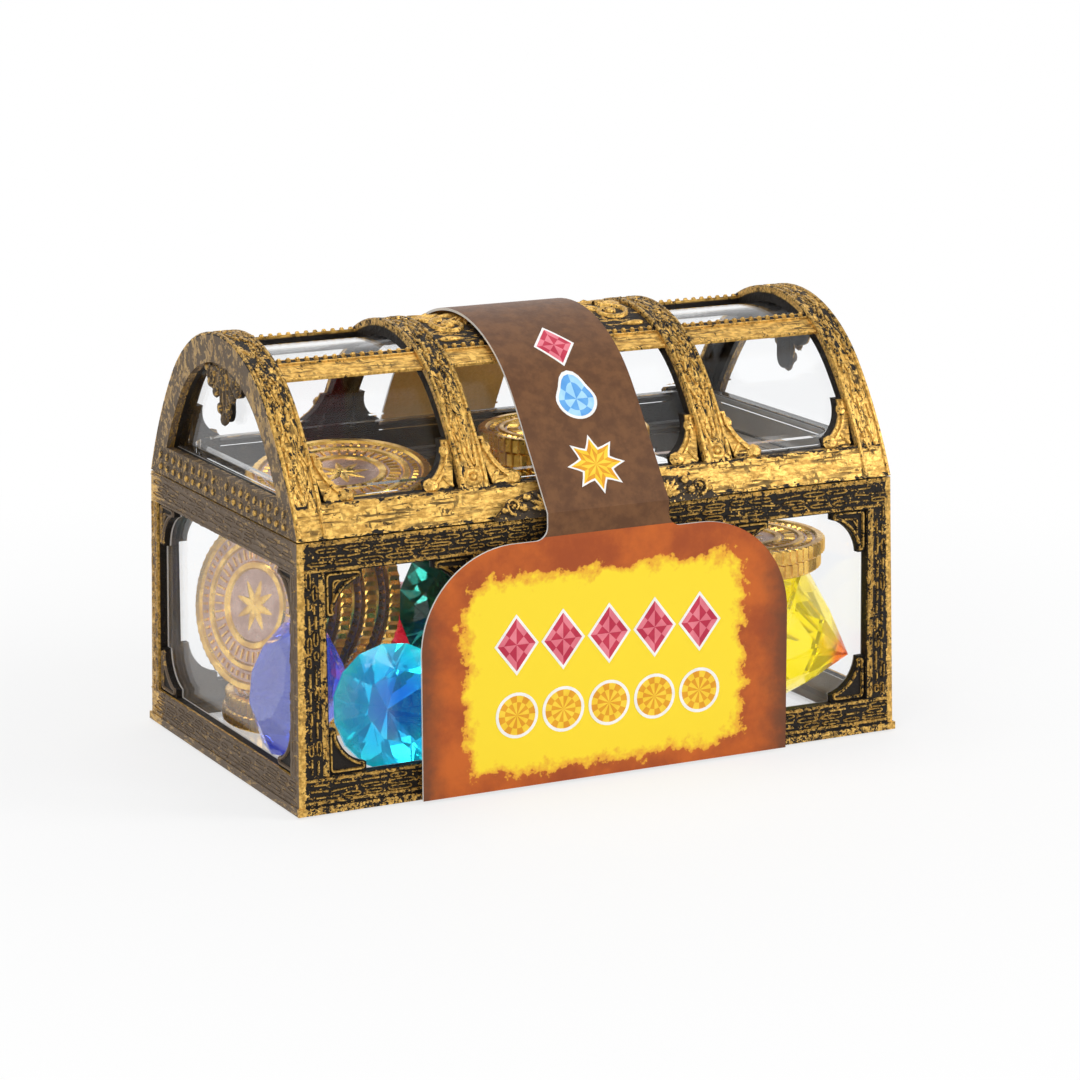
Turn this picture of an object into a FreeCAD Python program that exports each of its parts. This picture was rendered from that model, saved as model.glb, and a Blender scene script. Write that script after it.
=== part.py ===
import FreeCAD, Part
import math
import os

from FreeCAD import Placement, Rotation, Vector

# Base frame: an openwork box whose four walls lean in a little towards the rim
base_length = 130.0
base_depth = 77.0
base_height = 51.8
wall_draft = 0.95
frame_wall = 2.4
corner_round = 0.5
foot_lip = 0.3
foot_lip_height = 1.5
foot_ledge = 3.0
ledge_thickness = 1.6
bottom_rail = 7.0
top_rail = 5.9
front_post = 6.4
side_post = 4.2
mullion_width = 4.4
gusset_run = 7.8
gusset_rise = 8.8
gusset_tip = 1.7
gusset_recess = 0.9
bracket_hollow = 0.47

# Lid frame: a barrel roof of tangent arcs on two end arches and two ribs
parting_gap = 0.3
lid_setback = 0.1
lid_rise = 32.9
crown_inset = 5.45
crown_angle = 50.0
lid_wall = 2.4
end_wall = 2.6
end_ring = 5.5
rim_band = 6.0
end_arch_width = 6.1
rib_centre = 26.3
rib_width = 6.0
rib_raise = 0.6
front_window_rise = 20.6
top_window_depth = 26.0
bracket_run = 6.5
bracket_rise = 8.5
bracket_tip = 1.4
bracket_recess = 0.7
bracket_slit_width = 1.3
bracket_slit_rise = 5.5

# Crest that hangs from the top of each end arch
crest_width = 18.0
crest_setback = 1.3
crest_drop = 11.5
crest_shoulder_drop = 6.0
crest_lobe_width = 5.2

# Clear tray and clear dome
tray_gap = 0.3
tray_wall = 1.2
tray_floor = 1.4
tray_neck_rise = 7.6
tray_corner = 9.0
tray_bead = 0.8
tray_bead_height = 1.8
dome_gap = 0.15
dome_wall = 0.9
neck_gap = 0.3

# Hinges on the back rim
hinge_end_distance = 22.0
hinge_standoff = 1.05
hinge_radius = 2.4
hinge_lug_width = 4.0
hinge_knuckle_width = 7.0
hinge_side_gap = 0.2
hinge_root = 6.0
hinge_notch_gap = 0.4
hinge_web_lip = 0.4
hinge_web_angle = 18.0
pin_radius = 0.8
pin_tight_clearance = 0.02
pin_running_clearance = 0.05
pin_head_radius = 1.4
pin_head_length = 0.6

# Lock on the front rim
lock_width = 48.0
lock_thickness = 1.5
lock_rise = 5.2
lock_waist_rise = 4.4
lock_shoulder_rise = 3.1
lock_tongue_width = 13.0
lock_tongue_drop = 6.4
lock_tongue_thickness = 1.2
lock_tongue_corner = 3.9
lock_boss_radius = 1.7
lock_boss_drop = 3.4
lock_gap = 0.3

# Printed card sleeve
sleeve_shift = -1.2
card_thickness = 0.5
sleeve_standoff = 2.0
sleeve_foot = 0.3
panel_width = 79.0
panel_height = 48.0
panel_shoulder = 19.5
strap_width = 26.0
strap_fillet = 2.5
strap_gap = 0.6
strap_crease_rise = 0.9
strap_end_rise = 2.5

# Play coins and cut gems
coin_radius = 17.5
coin_thickness = 3.0
coin_sides = 36
gem_sides = 8
gem_radius = 15.0
gem_girdle = 1.0
gem_crown_share = 0.33
gem_pavilion_share = 0.9
gem_table_share = 0.58
gem_waist_share = 0.5
gem_waist_depth_share = 0.55
blue_gem_radius = 14.0
cyan_gem_radius = 12.5
red_gem_radius = 13.0
rest_gap = 0.1
lie_gap = 0.2

# How the contents lie in the tray: counts, facings and distances
pile_scatter = 0.5
pile_turn = 137.5
left_pile_count = 2
left_pile_wall_distance = 3.0
row_count = 4
row_pitch = 4.9
row_facing = Vector(-0.926, -0.337, 0.174)
row_wall_distance = 3.0
fan_count = 3
fan_angle = 5.0
fan_axis = Vector(0.893, -0.45, 0)
fan_wall_distance = 3.6
fan_middle_y = -1.0
front_pile_count = 4
stack_count = 18
stack_back_distance = 24.3
right_pile_count = 2
right_pile_wall_distance = 0.8
blue_facing = Vector(-0.96, 0, 0.28)
blue_row_distance = 24.6
cyan_facing = Vector(-0.12, -0.94, 0.30)
cyan_wall_distance = 20.4
green_facing = Vector(-0.55, -0.75, 0.36)
green_shift_left = 3.5
green_shift_back = 3.5
red_facing = Vector(0.62, -0.28, 0.73)
red_pile_distance = 24.4
yellow_facing = Vector(-0.78, 0.56, 0.26)

# Room that a cutter has past the faces it cuts
cut_margin = 1.0

# Places worked out from the sizes above
foot_half_x = base_length / 2
foot_half_y = base_depth / 2
rim_half_y = foot_half_y - wall_draft
lid_length = base_length - 2 * (wall_draft + lid_setback)
lid_span = base_depth - 2 * (wall_draft + lid_setback)
hinge_centre = lid_length / 2 - hinge_end_distance
crown_radius = lid_span / 2 - crown_inset
lid_rim = base_height + parting_gap
lid_top = lid_rim + lid_rise
crown_centre = lid_top - crown_radius
shell_inset = rib_raise
inner_inset = rib_raise + lid_wall
dome_inset = inner_inset + dome_gap
neck_inset = dome_inset + dome_wall + neck_gap
hinge_y = rim_half_y + hinge_standoff
hinge_z = base_height + parting_gap / 2
floor_z = ledge_thickness + tray_floor
neck_top = base_height + tray_neck_rise
inside_x = foot_half_x - wall_draft - frame_wall - tray_gap - tray_wall
inside_y = foot_half_y - wall_draft - frame_wall - tray_gap - tray_wall


def solid_of(edges, direction):
    """Extrudes a closed run of edges."""
    wire = Part.Wire(Part.__sortEdges__(edges))
    return Part.Face(wire).extrude(direction)


def polygon(points):
    """Straight edges round a list of points."""
    closed = points + points[:1]
    return [Part.makeLine(a, b) for a, b in zip(closed, closed[1:])]


def block(x0, x1, y0, y1, z0, z1):
    """A box between two corners."""
    return Part.makeBox(x1 - x0, y1 - y0, z1 - z0, Vector(x0, y0, z0))


def rod(radius, x0, x1, y, z):
    """A cylinder along X."""
    return Part.makeCylinder(radius, x1 - x0, Vector(x0, y, z), Vector(1, 0, 0))


def faceted_solid(outlines):
    """A convex solid bounded by flat faces, each turned to look outwards."""
    corners = [point for points in outlines for point in points]
    middle = sum(corners[1:], corners[0]) * (1 / len(corners))
    faces = []
    for points in outlines:
        outward = (points[1] - points[0]).cross(points[2] - points[0]).dot(points[0] - middle) > 0
        ordered = points if outward else points[::-1]
        faces.append(Part.Face(Part.makePolygon(ordered + ordered[:1])))
    return Part.Solid(Part.Shell(faces))


def mirrored_x(shape):
    return shape.mirror(Vector(0, 0, 0), Vector(1, 0, 0))


def mirrored_y(shape):
    return shape.mirror(Vector(0, 0, 0), Vector(0, 1, 0))


# Base frame
def drafted_block(z0, z1, inset):
    """The leaning outer form of the base between two heights, moved in by an inset."""
    rings = []
    for z in (z0, z1):
        lean = wall_draft * z / base_height + inset
        x = foot_half_x - lean
        y = foot_half_y - lean
        rings.append([Vector(-x, -y, z), Vector(x, -y, z), Vector(x, y, z), Vector(-x, y, z)])
    low, high = rings
    outlines = [low, high]
    for k in range(4):
        nxt = (k + 1) % 4
        outlines.append([low[k], low[nxt], high[nxt], high[k]])
    return faceted_solid(outlines)


def bracket_corner(x, y, side_x, side_y, run, rise, tip):
    """Edges of a hollow-sided bracket that fills one corner of an opening."""
    toe = Vector(x - side_x * run, y, 0)
    toe_top = Vector(x - side_x * run, y - side_y * tip, 0)
    heel = Vector(x, y - side_y * rise, 0)
    heel_side = Vector(x - side_x * tip, y - side_y * rise, 0)
    hollow = Vector(x - side_x * run * bracket_hollow, y - side_y * rise * bracket_hollow, 0)
    curve = Part.Arc(toe_top, hollow, heel_side).toShape()
    return toe, heel, [Part.makeLine(toe, toe_top), curve, Part.makeLine(heel_side, heel)]


def opening(width, height, run, rise, tip, top_brackets):
    """A window's outline, with a bracket in each lower corner and, if asked, each upper one."""
    half = width / 2
    edges = []
    ends = {}
    for side_x in (-1, 1):
        for side_y, y in ((-1, 0.0), (1, height)):
            if side_y < 0 or top_brackets:
                toe, heel, corner = bracket_corner(side_x * half, y, side_x, side_y, run, rise, tip)
                edges += corner
            else:
                toe = heel = Vector(side_x * half, y, 0)
            ends[side_x, side_y] = (toe, heel)
    for side_y in (-1, 1):
        edges.append(Part.makeLine(ends[-1, side_y][0], ends[1, side_y][0]))
    for side_x in (-1, 1):
        edges.append(Part.makeLine(ends[side_x, -1][1], ends[side_x, 1][1]))
    return edges


def on_wall(shape, turn, distance, along):
    """Stands a cutter, drawn flat and facing +Z, on a leaning wall of the base."""
    lean = math.degrees(math.atan2(wall_draft, base_height))
    upright = Placement(Vector(0, -distance, 0), Rotation(Vector(1, 0, 0), 90 - lean))
    place = Placement(Vector(0, 0, 0), Rotation(Vector(0, 0, 1), turn)) * upright
    moved = shape.copy()
    moved.translate(Vector(along, bottom_rail, 0))
    moved.Placement = place * moved.Placement
    return moved


def base_window(width, turn, distance, along):
    """Cutters for one window: the opening through the wall and the recess over its gussets."""
    height = base_height - bottom_rail - top_rail
    through = solid_of(opening(width, height, gusset_run, gusset_rise, gusset_tip, True),
                       Vector(0, 0, 4 * frame_wall))
    through.translate(Vector(0, 0, -3 * frame_wall))
    recess = Part.makeBox(width, height, 2 * gusset_recess, Vector(-width / 2, 0, -gusset_recess))
    return [on_wall(cutter, turn, distance, along) for cutter in (through, recess)]


def hinge_lug(x0, x1, points):
    """A round hinge eye with a web back to its wall."""
    eye = rod(hinge_radius, x0, x1, hinge_y, hinge_z)
    web = solid_of(polygon([Vector(x0, y, z) for y, z in points]), Vector(x1 - x0, 0, 0))
    return eye.fuse(web)


def hinge_web(wall_y, wall_z, root_y, root_back_y, up):
    """Corners of a hinge web: up the wall's face, out to the eye's back and in to the rim."""
    turn = math.radians(hinge_web_angle)
    root_z = hinge_z + up * hinge_root
    eye_y = hinge_y + hinge_radius * math.cos(turn)
    eye_z = hinge_z + up * hinge_radius * math.sin(turn)
    return [(wall_y, wall_z), (hinge_y, hinge_z), (eye_y, eye_z), (root_y + hinge_web_lip, root_z),
            (root_back_y, root_z)]


def hinge_stations():
    """The X spans of the lugs, the knuckle and the pin's head of each hinge."""
    half = hinge_knuckle_width / 2
    near = half + hinge_side_gap
    far = near + hinge_lug_width
    stations = []
    for side in (-1, 1):
        centre = side * hinge_centre
        lugs = [(centre - far, centre - near), (centre + near, centre + far)]
        head = sorted((centre + side * far, centre + side * (far + pin_head_length)))
        stations.append((lugs, (centre - half, centre + half), head))
    return stations


def base_frame():
    outer = drafted_block(0, base_height, 0)
    posts = [e for e in outer.Edges if abs(e.Vertexes[0].Z - e.Vertexes[1].Z) > base_height / 2]
    frame = outer.makeFillet(corner_round, posts)
    frame = frame.fuse(drafted_block(0, foot_lip_height, -foot_lip))
    frame = frame.cut(drafted_block(ledge_thickness, 2 * base_height, frame_wall))
    frame = frame.cut(drafted_block(-cut_margin, ledge_thickness + cut_margin, frame_wall + foot_ledge))
    outer_edge = foot_half_x - front_post
    mullion_out = rib_centre + mullion_width / 2
    mullion_in = rib_centre - mullion_width / 2
    wing = outer_edge - mullion_out
    wing_centre = (outer_edge + mullion_out) / 2
    cutters = []
    for turn in (0, 180):
        cutters += base_window(2 * mullion_in, turn, foot_half_y, 0)
        cutters += base_window(wing, turn, foot_half_y, -wing_centre)
        cutters += base_window(wing, turn, foot_half_y, wing_centre)
    for turn in (90, 270):
        cutters += base_window(2 * (foot_half_y - side_post), turn, foot_half_x, 0)
    wall_y = rim_half_y - frame_wall / 2
    web = hinge_web(wall_y, base_height, rim_half_y, wall_y, -1)
    for lugs, knuckle, head in hinge_stations():
        for x0, x1 in lugs:
            frame = frame.fuse(hinge_lug(x0, x1, web))
            cutters.append(rod(pin_radius + pin_tight_clearance, x0 - cut_margin, x1 + cut_margin,
                               hinge_y, hinge_z))
        cutters.append(rod(hinge_radius + hinge_notch_gap, knuckle[0] - hinge_side_gap,
                           knuckle[1] + hinge_side_gap, hinge_y, hinge_z))
        cutters.append(rod(pin_head_radius + hinge_side_gap, head[0], head[1], hinge_y, hinge_z))
    return frame.cut(cutters).removeSplitter()


# Lid frame
def lid_arcs(inset):
    """Radii and centres of the roof's arcs, moved in by an inset."""
    u_y = math.sin(math.radians(crown_angle))
    u_z = math.cos(math.radians(crown_angle))
    d_y = lid_span / 2
    d_z = lid_rim - crown_centre
    along = d_y * u_y + d_z * u_z
    side = d_y * d_y + d_z * d_z - 2 * crown_radius * along + crown_radius ** 2
    side /= 2 * (crown_radius - along)
    side_y = (side - crown_radius) * u_y
    side_z = crown_centre - (side - crown_radius) * u_z
    return crown_radius - inset, side - inset, side_y, side_z


def lid_half_depth(z, inset):
    """Distance from the middle plane to the roof's side arc at a height."""
    crown, side, side_y, side_z = lid_arcs(inset)
    return math.sqrt(side ** 2 - (z - side_z) ** 2) - side_y


def roof_edges(inset, end_z):
    """The roof line as three arcs, from the front edge over the crown to the back edge."""
    crown, side, side_y, side_z = lid_arcs(inset)
    low = math.asin((end_z - side_z) / side)
    join = math.radians(90 - crown_angle)
    middle = (low + join) / 2

    def side_point(angle, sign):
        return Vector(0, sign * (side * math.cos(angle) - side_y), side_z + side * math.sin(angle))

    front = [side_point(a, -1) for a in (low, middle, join)]
    back = [side_point(a, 1) for a in (join, middle, low)]
    top = Vector(0, 0, crown_centre + crown)
    arcs = [Part.Arc(*front).toShape(), Part.Arc(front[2], top, back[0]).toShape(), Part.Arc(*back).toShape()]
    return arcs, front[0], back[2]


def roof_block(inset, x0, x1):
    """The roof's outer form, moved in by an inset, as a solid between two X places."""
    arcs, front, back = roof_edges(inset, lid_rim)
    body = solid_of(arcs + [Part.makeLine(back, front)], Vector(x1 - x0, 0, 0))
    body.translate(Vector(x0, 0, 0))
    return body


def upright_face(edges, depth):
    """Turns an outline drawn flat so that it stands facing the front, and gives it depth."""
    body = solid_of(edges, Vector(0, 0, depth))
    body.rotate(Vector(0, 0, 0), Vector(1, 0, 0), 90)
    return body


def lid_front_window(x0, x1):
    """Cutters for one front window: the opening, the recess over its foot brackets and a slit beside each."""
    sill = lid_rim + rim_band
    edges = opening(x1 - x0, front_window_rise, bracket_run, bracket_rise, bracket_tip, False)
    through = upright_face(edges, lid_span)
    through.translate(Vector((x0 + x1) / 2, -top_window_depth / 2, sill))
    over = roof_block(-cut_margin, x0, x1).cut(roof_block(bracket_recess, x0 - cut_margin, x1 + cut_margin))
    recess = over.common(block(x0, x1, -lid_span, -top_window_depth / 2, sill, sill + bracket_rise))
    cutters = [through, recess]
    for x, inward in ((x0, 1), (x1, -1)):
        corners = [(x, sill), (x + inward * bracket_slit_width, sill), (x, sill + bracket_slit_rise)]
        slit = upright_face(polygon([Vector(a, b, 0) for a, b in corners]), lid_span)
        cutters.append(slit)
    return cutters


def crest():
    """The carved crest of an end arch, as a flat outline in the YZ plane."""
    top = lid_top - end_ring + cut_margin
    shoulder = lid_top - end_ring - crest_shoulder_drop
    lobe = crest_lobe_width / 2
    tip = lid_top - end_ring - crest_drop
    half = crest_width / 2
    throat = shoulder + lobe / 2
    edges = [Part.makeLine(Vector(0, -half, top), Vector(0, half, top))]
    for side in (-1, 1):
        outer_top = Vector(0, side * half, top)
        outer = Vector(0, side * half, throat + lobe)
        swell = Vector(0, side * (half + lobe) / 2, shoulder)
        inner = Vector(0, side * lobe, throat)
        drop = Vector(0, side * lobe, tip + lobe)
        edges += [Part.makeLine(outer_top, outer), Part.Arc(outer, swell, inner).toShape(),
                  Part.makeLine(inner, drop)]
    ends = [Vector(0, side * lobe, tip + lobe) for side in (-1, 1)]
    edges.append(Part.Arc(ends[0], Vector(0, 0, tip), ends[1]).toShape())
    return edges


def lid_end_window():
    """Cutter for the left end's window, which keeps the crest behind the arch's face."""
    sill = lid_rim + rim_band
    x0 = -lid_length / 2 - cut_margin
    x1 = -lid_length / 2 + end_wall + cut_margin
    crest_x = -lid_length / 2 + crest_setback
    arch = roof_block(end_ring, x0, x1)
    below = block(x0 - cut_margin, x1 + cut_margin, -lid_span, lid_span, 0, sill)
    hanging = solid_of(crest(), Vector(end_wall, 0, 0))
    hanging.translate(Vector(crest_x, 0, 0))
    return arch.cut([below, hanging])


def lid_frame():
    half = lid_length / 2
    arch_in = half - end_arch_width
    rib_in = rib_centre - rib_width / 2
    rib_out = rib_centre + rib_width / 2
    raised = [roof_block(0, -half, -arch_in), roof_block(0, -rib_out, -rib_in)]
    raised += [mirrored_x(s) for s in raised]
    band = block(-half, half, -lid_span, lid_span, lid_rim, lid_rim + rim_band)
    raised.append(roof_block(0, -half, half).common(band))
    frame = roof_block(shell_inset, -half, half).fuse(raised)
    cutters = [roof_block(inner_inset, -half + end_wall, half - end_wall)]
    for x0, x1 in ((-arch_in, -rib_out), (-rib_in, rib_in), (rib_out, arch_in)):
        front = lid_front_window(x0, x1)
        cutters += front + [mirrored_y(s) for s in front]
        if x0 != -rib_in:
            cutters.append(block(x0, x1, -top_window_depth / 2, top_window_depth / 2, crown_centre,
                                 lid_top + cut_margin))
    end = lid_end_window()
    cutters += [end, mirrored_x(end)]
    wall_y = lid_half_depth(lid_rim, inner_inset / 2)
    root_y = lid_half_depth(hinge_z + hinge_root, 0)
    web = hinge_web(wall_y, lid_rim, root_y, root_y - inner_inset / 2, 1)
    for lugs, knuckle, head in hinge_stations():
        frame = frame.fuse(hinge_lug(knuckle[0], knuckle[1], web))
        cutters.append(rod(pin_radius + pin_running_clearance, knuckle[0] - cut_margin,
                           knuckle[1] + cut_margin, hinge_y, hinge_z))
        for x0, x1 in lugs + [head]:
            cutters.append(rod(hinge_radius + hinge_notch_gap, x0 - hinge_side_gap, x1 + hinge_side_gap,
                               hinge_y, hinge_z))
    return frame.cut(cutters).removeSplitter()


# Clear pieces
def neck_half_x():
    """Half of the tray neck's length, which clears the dome's ends."""
    return lid_length / 2 - end_wall - dome_gap - dome_wall - neck_gap


def neck_half_y():
    """Half of the tray neck's depth, which clears the dome at the neck's top."""
    return lid_half_depth(neck_top, neck_inset)


def neck_block(inset, z0, z1):
    """The round-cornered neck of the tray, moved in by an inset."""
    x = neck_half_x() - inset
    y = neck_half_y() - inset
    body = block(-x, x, -y, y, z0, z1)
    uprights = [e for e in body.Edges if abs(e.Vertexes[0].Z - e.Vertexes[1].Z) > (z1 - z0) / 2]
    return body.makeFillet(tray_corner - inset, uprights)


def base_tray():
    inset = frame_wall + tray_gap
    shoulder = base_height
    tray = drafted_block(ledge_thickness, shoulder, inset).fuse(neck_block(0, shoulder - tray_wall, neck_top))
    tray = tray.cut(drafted_block(floor_z, shoulder - tray_wall, inset + tray_wall))
    bead_bottom = neck_top - tray_bead_height
    tray = tray.cut(neck_block(tray_wall, floor_z, bead_bottom))
    mouth = neck_block(tray_wall + tray_bead, bead_bottom - cut_margin, neck_top + cut_margin)
    return tray.cut(mouth).removeSplitter()


def lid_dome():
    half = lid_length / 2 - end_wall - dome_gap
    outer = roof_block(dome_inset, -half, half)
    return outer.cut(roof_block(dome_inset + dome_wall, -half + dome_wall, half - dome_wall))


# Hinge pins
def hinge_pin(station):
    """A pin through the lugs and the knuckle, with a flat head outside the outer lug."""
    lugs, knuckle, head = station
    pin = rod(pin_radius, lugs[0][0], lugs[1][1], hinge_y, hinge_z)
    return pin.fuse(rod(pin_head_radius, head[0], head[1], hinge_y, hinge_z)).removeSplitter()


# Lock
def lock_plate():
    """A scrolled plate that follows the lid's front, with a forked tongue over the base's rail."""
    half = lock_width / 2
    tongue = lock_tongue_width / 2
    left = Vector(-half, 0, 0)
    right = Vector(half, 0, 0)
    scroll = [Part.makeLine(left, right)]
    for side in (-1, 1):
        outer = Vector(side * half, 0, 0)
        waist = Vector(side * (half + tongue) / 2, lock_waist_rise, 0)
        inner = Vector(side * tongue, lock_shoulder_rise, 0)
        scroll.append(Part.Arc(outer, waist, inner).toShape())
    scroll.append(Part.Arc(Vector(-tongue, lock_shoulder_rise, 0), Vector(0, lock_rise, 0),
                           Vector(tongue, lock_shoulder_rise, 0)).toShape())
    outline = upright_face(scroll, lid_span)
    outline.translate(Vector(0, 0, lid_rim))
    lid_side = roof_block(0, -half - cut_margin, half + cut_margin)
    plate = roof_block(-lock_thickness, -half, half).cut(lid_side).common(outline)
    front = -lid_half_depth(lid_rim, -lock_thickness)
    back = front + lock_tongue_thickness
    low = lid_rim - lock_tongue_drop
    drop = block(-tongue, tongue, front, back, low, lid_rim + lock_shoulder_rise / 2)
    across = [e for e in drop.Edges if e.BoundBox.YLength > lock_tongue_thickness / 2]
    drop = drop.makeFillet(lock_tongue_corner, [e for e in across if e.BoundBox.ZMax < lid_rim])
    drop = drop.cut(lid_side)
    slot = lock_boss_radius + lock_gap
    boss_z = lid_rim - lock_boss_drop
    slot_front = front - cut_margin
    slot_back = back + cut_margin
    slot_start = Vector(0, slot_front, boss_z)
    round_end = Part.makeCylinder(slot, slot_back - slot_front, slot_start, Vector(0, 1, 0))
    mouth = block(-slot, slot, slot_front, slot_back, low - cut_margin, boss_z)
    return plate.fuse(drop).cut([round_end, mouth]).removeSplitter()


def lock_boss():
    """The round stud on the base's rail that the tongue drops over."""
    front = -lid_half_depth(lid_rim, -lock_thickness)
    boss_z = lid_rim - lock_boss_drop
    stud = Part.makeCylinder(lock_boss_radius, foot_half_y + front + frame_wall, Vector(0, front, boss_z),
                             Vector(0, 1, 0))
    return stud.cut(drafted_block(0, base_height, 0))


# Card sleeve
def strap_lean():
    """Lean of the strap's straight run, which leaves the panel's crease and meets the roof at a tangent."""
    crown, side, side_y, side_z = lid_arcs(-strap_gap)
    run = foot_half_y + sleeve_standoff + side_y
    rise = lid_rim + strap_crease_rise - side_z
    return math.atan2(rise, run) + math.acos(side / math.hypot(run, rise))


def strap_line(offset):
    """One face of the strap from the panel over the roof to its end at the back."""
    lean = strap_lean()
    crown, side, side_y, side_z = lid_arcs(-strap_gap - offset)
    panel_y = foot_half_y + sleeve_standoff + offset
    crease = side_z + (side - (panel_y + side_y) * math.cos(lean)) / math.sin(lean)
    foot = Vector(0, -panel_y, panel_height)
    bend = Vector(0, -panel_y, crease)
    touch_z = side_z + side * math.sin(lean)
    touch = Vector(0, side_y - side * math.cos(lean), touch_z)
    arcs, front, back = roof_edges(-strap_gap - offset, touch_z)
    join = arcs[0].Vertexes[-1].Point
    end_angle = math.asin((lid_rim + strap_end_rise - side_z) / side)
    join_angle = math.radians(90 - crown_angle)
    back_points = []
    for angle in (join_angle, (join_angle + end_angle) / 2, end_angle):
        back_points.append(Vector(0, side * math.cos(angle) - side_y, side_z + side * math.sin(angle)))
    top = Vector(0, 0, crown_centre + crown)
    edges = [Part.makeLine(foot, bend), Part.makeLine(bend, touch), arcs[0],
             Part.Arc(join, top, back_points[0]).toShape(), Part.Arc(*back_points).toShape()]
    return edges, foot, back_points[2]


def panel_outline():
    """Half of the front panel's outline and its mirror image, drawn flat."""
    half = panel_width / 2
    strap = strap_width / 2
    neck = panel_height + strap_fillet
    cap = panel_height + 2 * strap_fillet
    turn = math.sqrt(0.5)
    shoulder_x = half - panel_shoulder
    shoulder_z = panel_height - panel_shoulder
    edges = [Part.makeLine(Vector(-half, sleeve_foot, 0), Vector(half, sleeve_foot, 0)),
             Part.makeLine(Vector(-strap, cap, 0), Vector(strap, cap, 0))]
    for side in (-1, 1):
        low = Vector(side * half, sleeve_foot, 0)
        spring = Vector(side * half, shoulder_z, 0)
        haunch = Vector(side * (shoulder_x + panel_shoulder * turn), shoulder_z + panel_shoulder * turn, 0)
        crown = Vector(side * shoulder_x, panel_height, 0)
        throat = Vector(side * (strap + strap_fillet), panel_height, 0)
        bow = Vector(side * (strap + strap_fillet * (1 - turn)), neck - strap_fillet * turn, 0)
        rise = Vector(side * strap, neck, 0)
        edges += [Part.makeLine(low, spring), Part.Arc(spring, haunch, crown).toShape(),
                  Part.makeLine(crown, throat), Part.Arc(throat, bow, rise).toShape(),
                  Part.makeLine(rise, Vector(side * strap, cap, 0))]
    return edges


def card_sleeve():
    inner, inner_foot, inner_end = strap_line(0)
    outer, outer_foot, outer_end = strap_line(card_thickness)
    closing = [Part.makeLine(inner_foot, outer_foot), Part.makeLine(inner_end, outer_end)]
    strap = solid_of(inner + outer + closing, Vector(strap_width, 0, 0))
    strap.translate(Vector(-strap_width / 2, 0, 0))
    panel = upright_face(panel_outline(), card_thickness)
    panel.translate(Vector(0, -foot_half_y - sleeve_standoff, 0))
    sleeve = strap.fuse(panel).removeSplitter()
    sleeve.translate(Vector(sleeve_shift, 0, 0))
    return sleeve


# Contents
def ring(radius, z, count, first):
    """Corners spaced evenly on a circle, from a first angle."""
    angles = [first + 2 * math.pi * k / count for k in range(count)]
    return [Vector(radius * math.cos(a), radius * math.sin(a), z) for a in angles]


def coin():
    """A play coin whose milled edge is a run of flats, its middle at the origin."""
    low_face = polygon(ring(coin_radius, -coin_thickness / 2, coin_sides, 0))
    return solid_of(low_face, Vector(0, 0, coin_thickness))


def gem(radius):
    """A brilliant-cut gem: flat table, crown facets, thin girdle and a pointed pavilion."""
    step = math.pi / gem_sides
    above = gem_girdle / 2
    depth = radius * gem_pavilion_share
    table = ring(radius * gem_table_share, above + radius * gem_crown_share, gem_sides, 0)
    upper = ring(radius, above, 2 * gem_sides, 0)
    lower = ring(radius, -above, 2 * gem_sides, 0)
    waist = ring(radius * gem_waist_share, -above - depth * gem_waist_depth_share, gem_sides, step)
    culet = Vector(0, 0, -above - depth)
    facets = [table]
    for k in range(gem_sides):
        nxt = (k + 1) % gem_sides
        a, b, c = 2 * k, 2 * k + 1, (2 * k + 2) % (2 * gem_sides)
        before = (2 * k - 1) % (2 * gem_sides)
        facets += [[table[k], upper[before], upper[a]], [table[k], upper[a], upper[b]],
                   [table[k], upper[b], table[nxt]]]
        facets += [[lower[a], lower[b], upper[b], upper[a]], [lower[b], lower[c], upper[c], upper[b]]]
        facets += [[waist[k], lower[a], lower[b]], [waist[k], lower[b], lower[c]],
                   [waist[k], lower[c], waist[nxt]], [culet, waist[k], waist[nxt]]]
    return faceted_solid(facets)


def aimed(shape, facing):
    """Turns a piece's axis from +Z to a direction."""
    turned = shape.copy()
    rotation = Rotation(Vector(0, 0, 1), facing)
    turned.rotate(Vector(0, 0, 0), rotation.Axis, math.degrees(rotation.Angle))
    return turned


def at(shape, x, y, height):
    """Sets a piece's middle over a place and lets it down on a height."""
    placed = shape.copy()
    placed.translate(Vector(x, y, height + rest_gap - placed.BoundBox.ZMin))
    return placed


def pushed(shape, x_side, x_limit):
    """Moves a piece along X until that side of it lies beside a limit."""
    placed = shape.copy()
    edge = placed.BoundBox.XMin if x_side < 0 else placed.BoundBox.XMax
    placed.translate(Vector(x_limit - x_side * lie_gap - edge, 0, 0))
    return placed


def flat_pile(x, y, height, count):
    """Coins lying on each other, each pushed a little off the middle of the pile."""
    coins = []
    for k in range(count):
        turn = math.radians(pile_turn * k)
        piece = at(coin(), x + pile_scatter * math.sin(turn), y + pile_scatter * math.cos(turn), height)
        height = piece.BoundBox.ZMax
        coins.append(piece)
    return coins


def coin_fan(height):
    """Coins that share one low edge, each opened further than the one below it."""
    x = fan_wall_distance + coin_radius - neck_half_x()
    coins = []
    for k in range(fan_count):
        fanned = at(coin(), x, fan_middle_y, height + k * (coin_thickness + rest_gap))
        low_edge = Vector(x, fan_middle_y, fanned.BoundBox.ZMin)
        low_edge += Vector(fan_axis.y, -fan_axis.x, 0) * coin_radius
        fanned.rotate(low_edge, fan_axis, k * fan_angle)
        coins.append(fanned)
    return coins


def clash_height(group, laid):
    """Height of the tallest overlap of a group with what was laid in before it."""
    heights = [0.0]
    for piece in group:
        for other in laid:
            if piece.BoundBox.intersect(other.BoundBox):
                shared = piece.common(other)
                if shared.Volume > 0:
                    heights.append(shared.BoundBox.ZLength)
    return max(heights)


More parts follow.
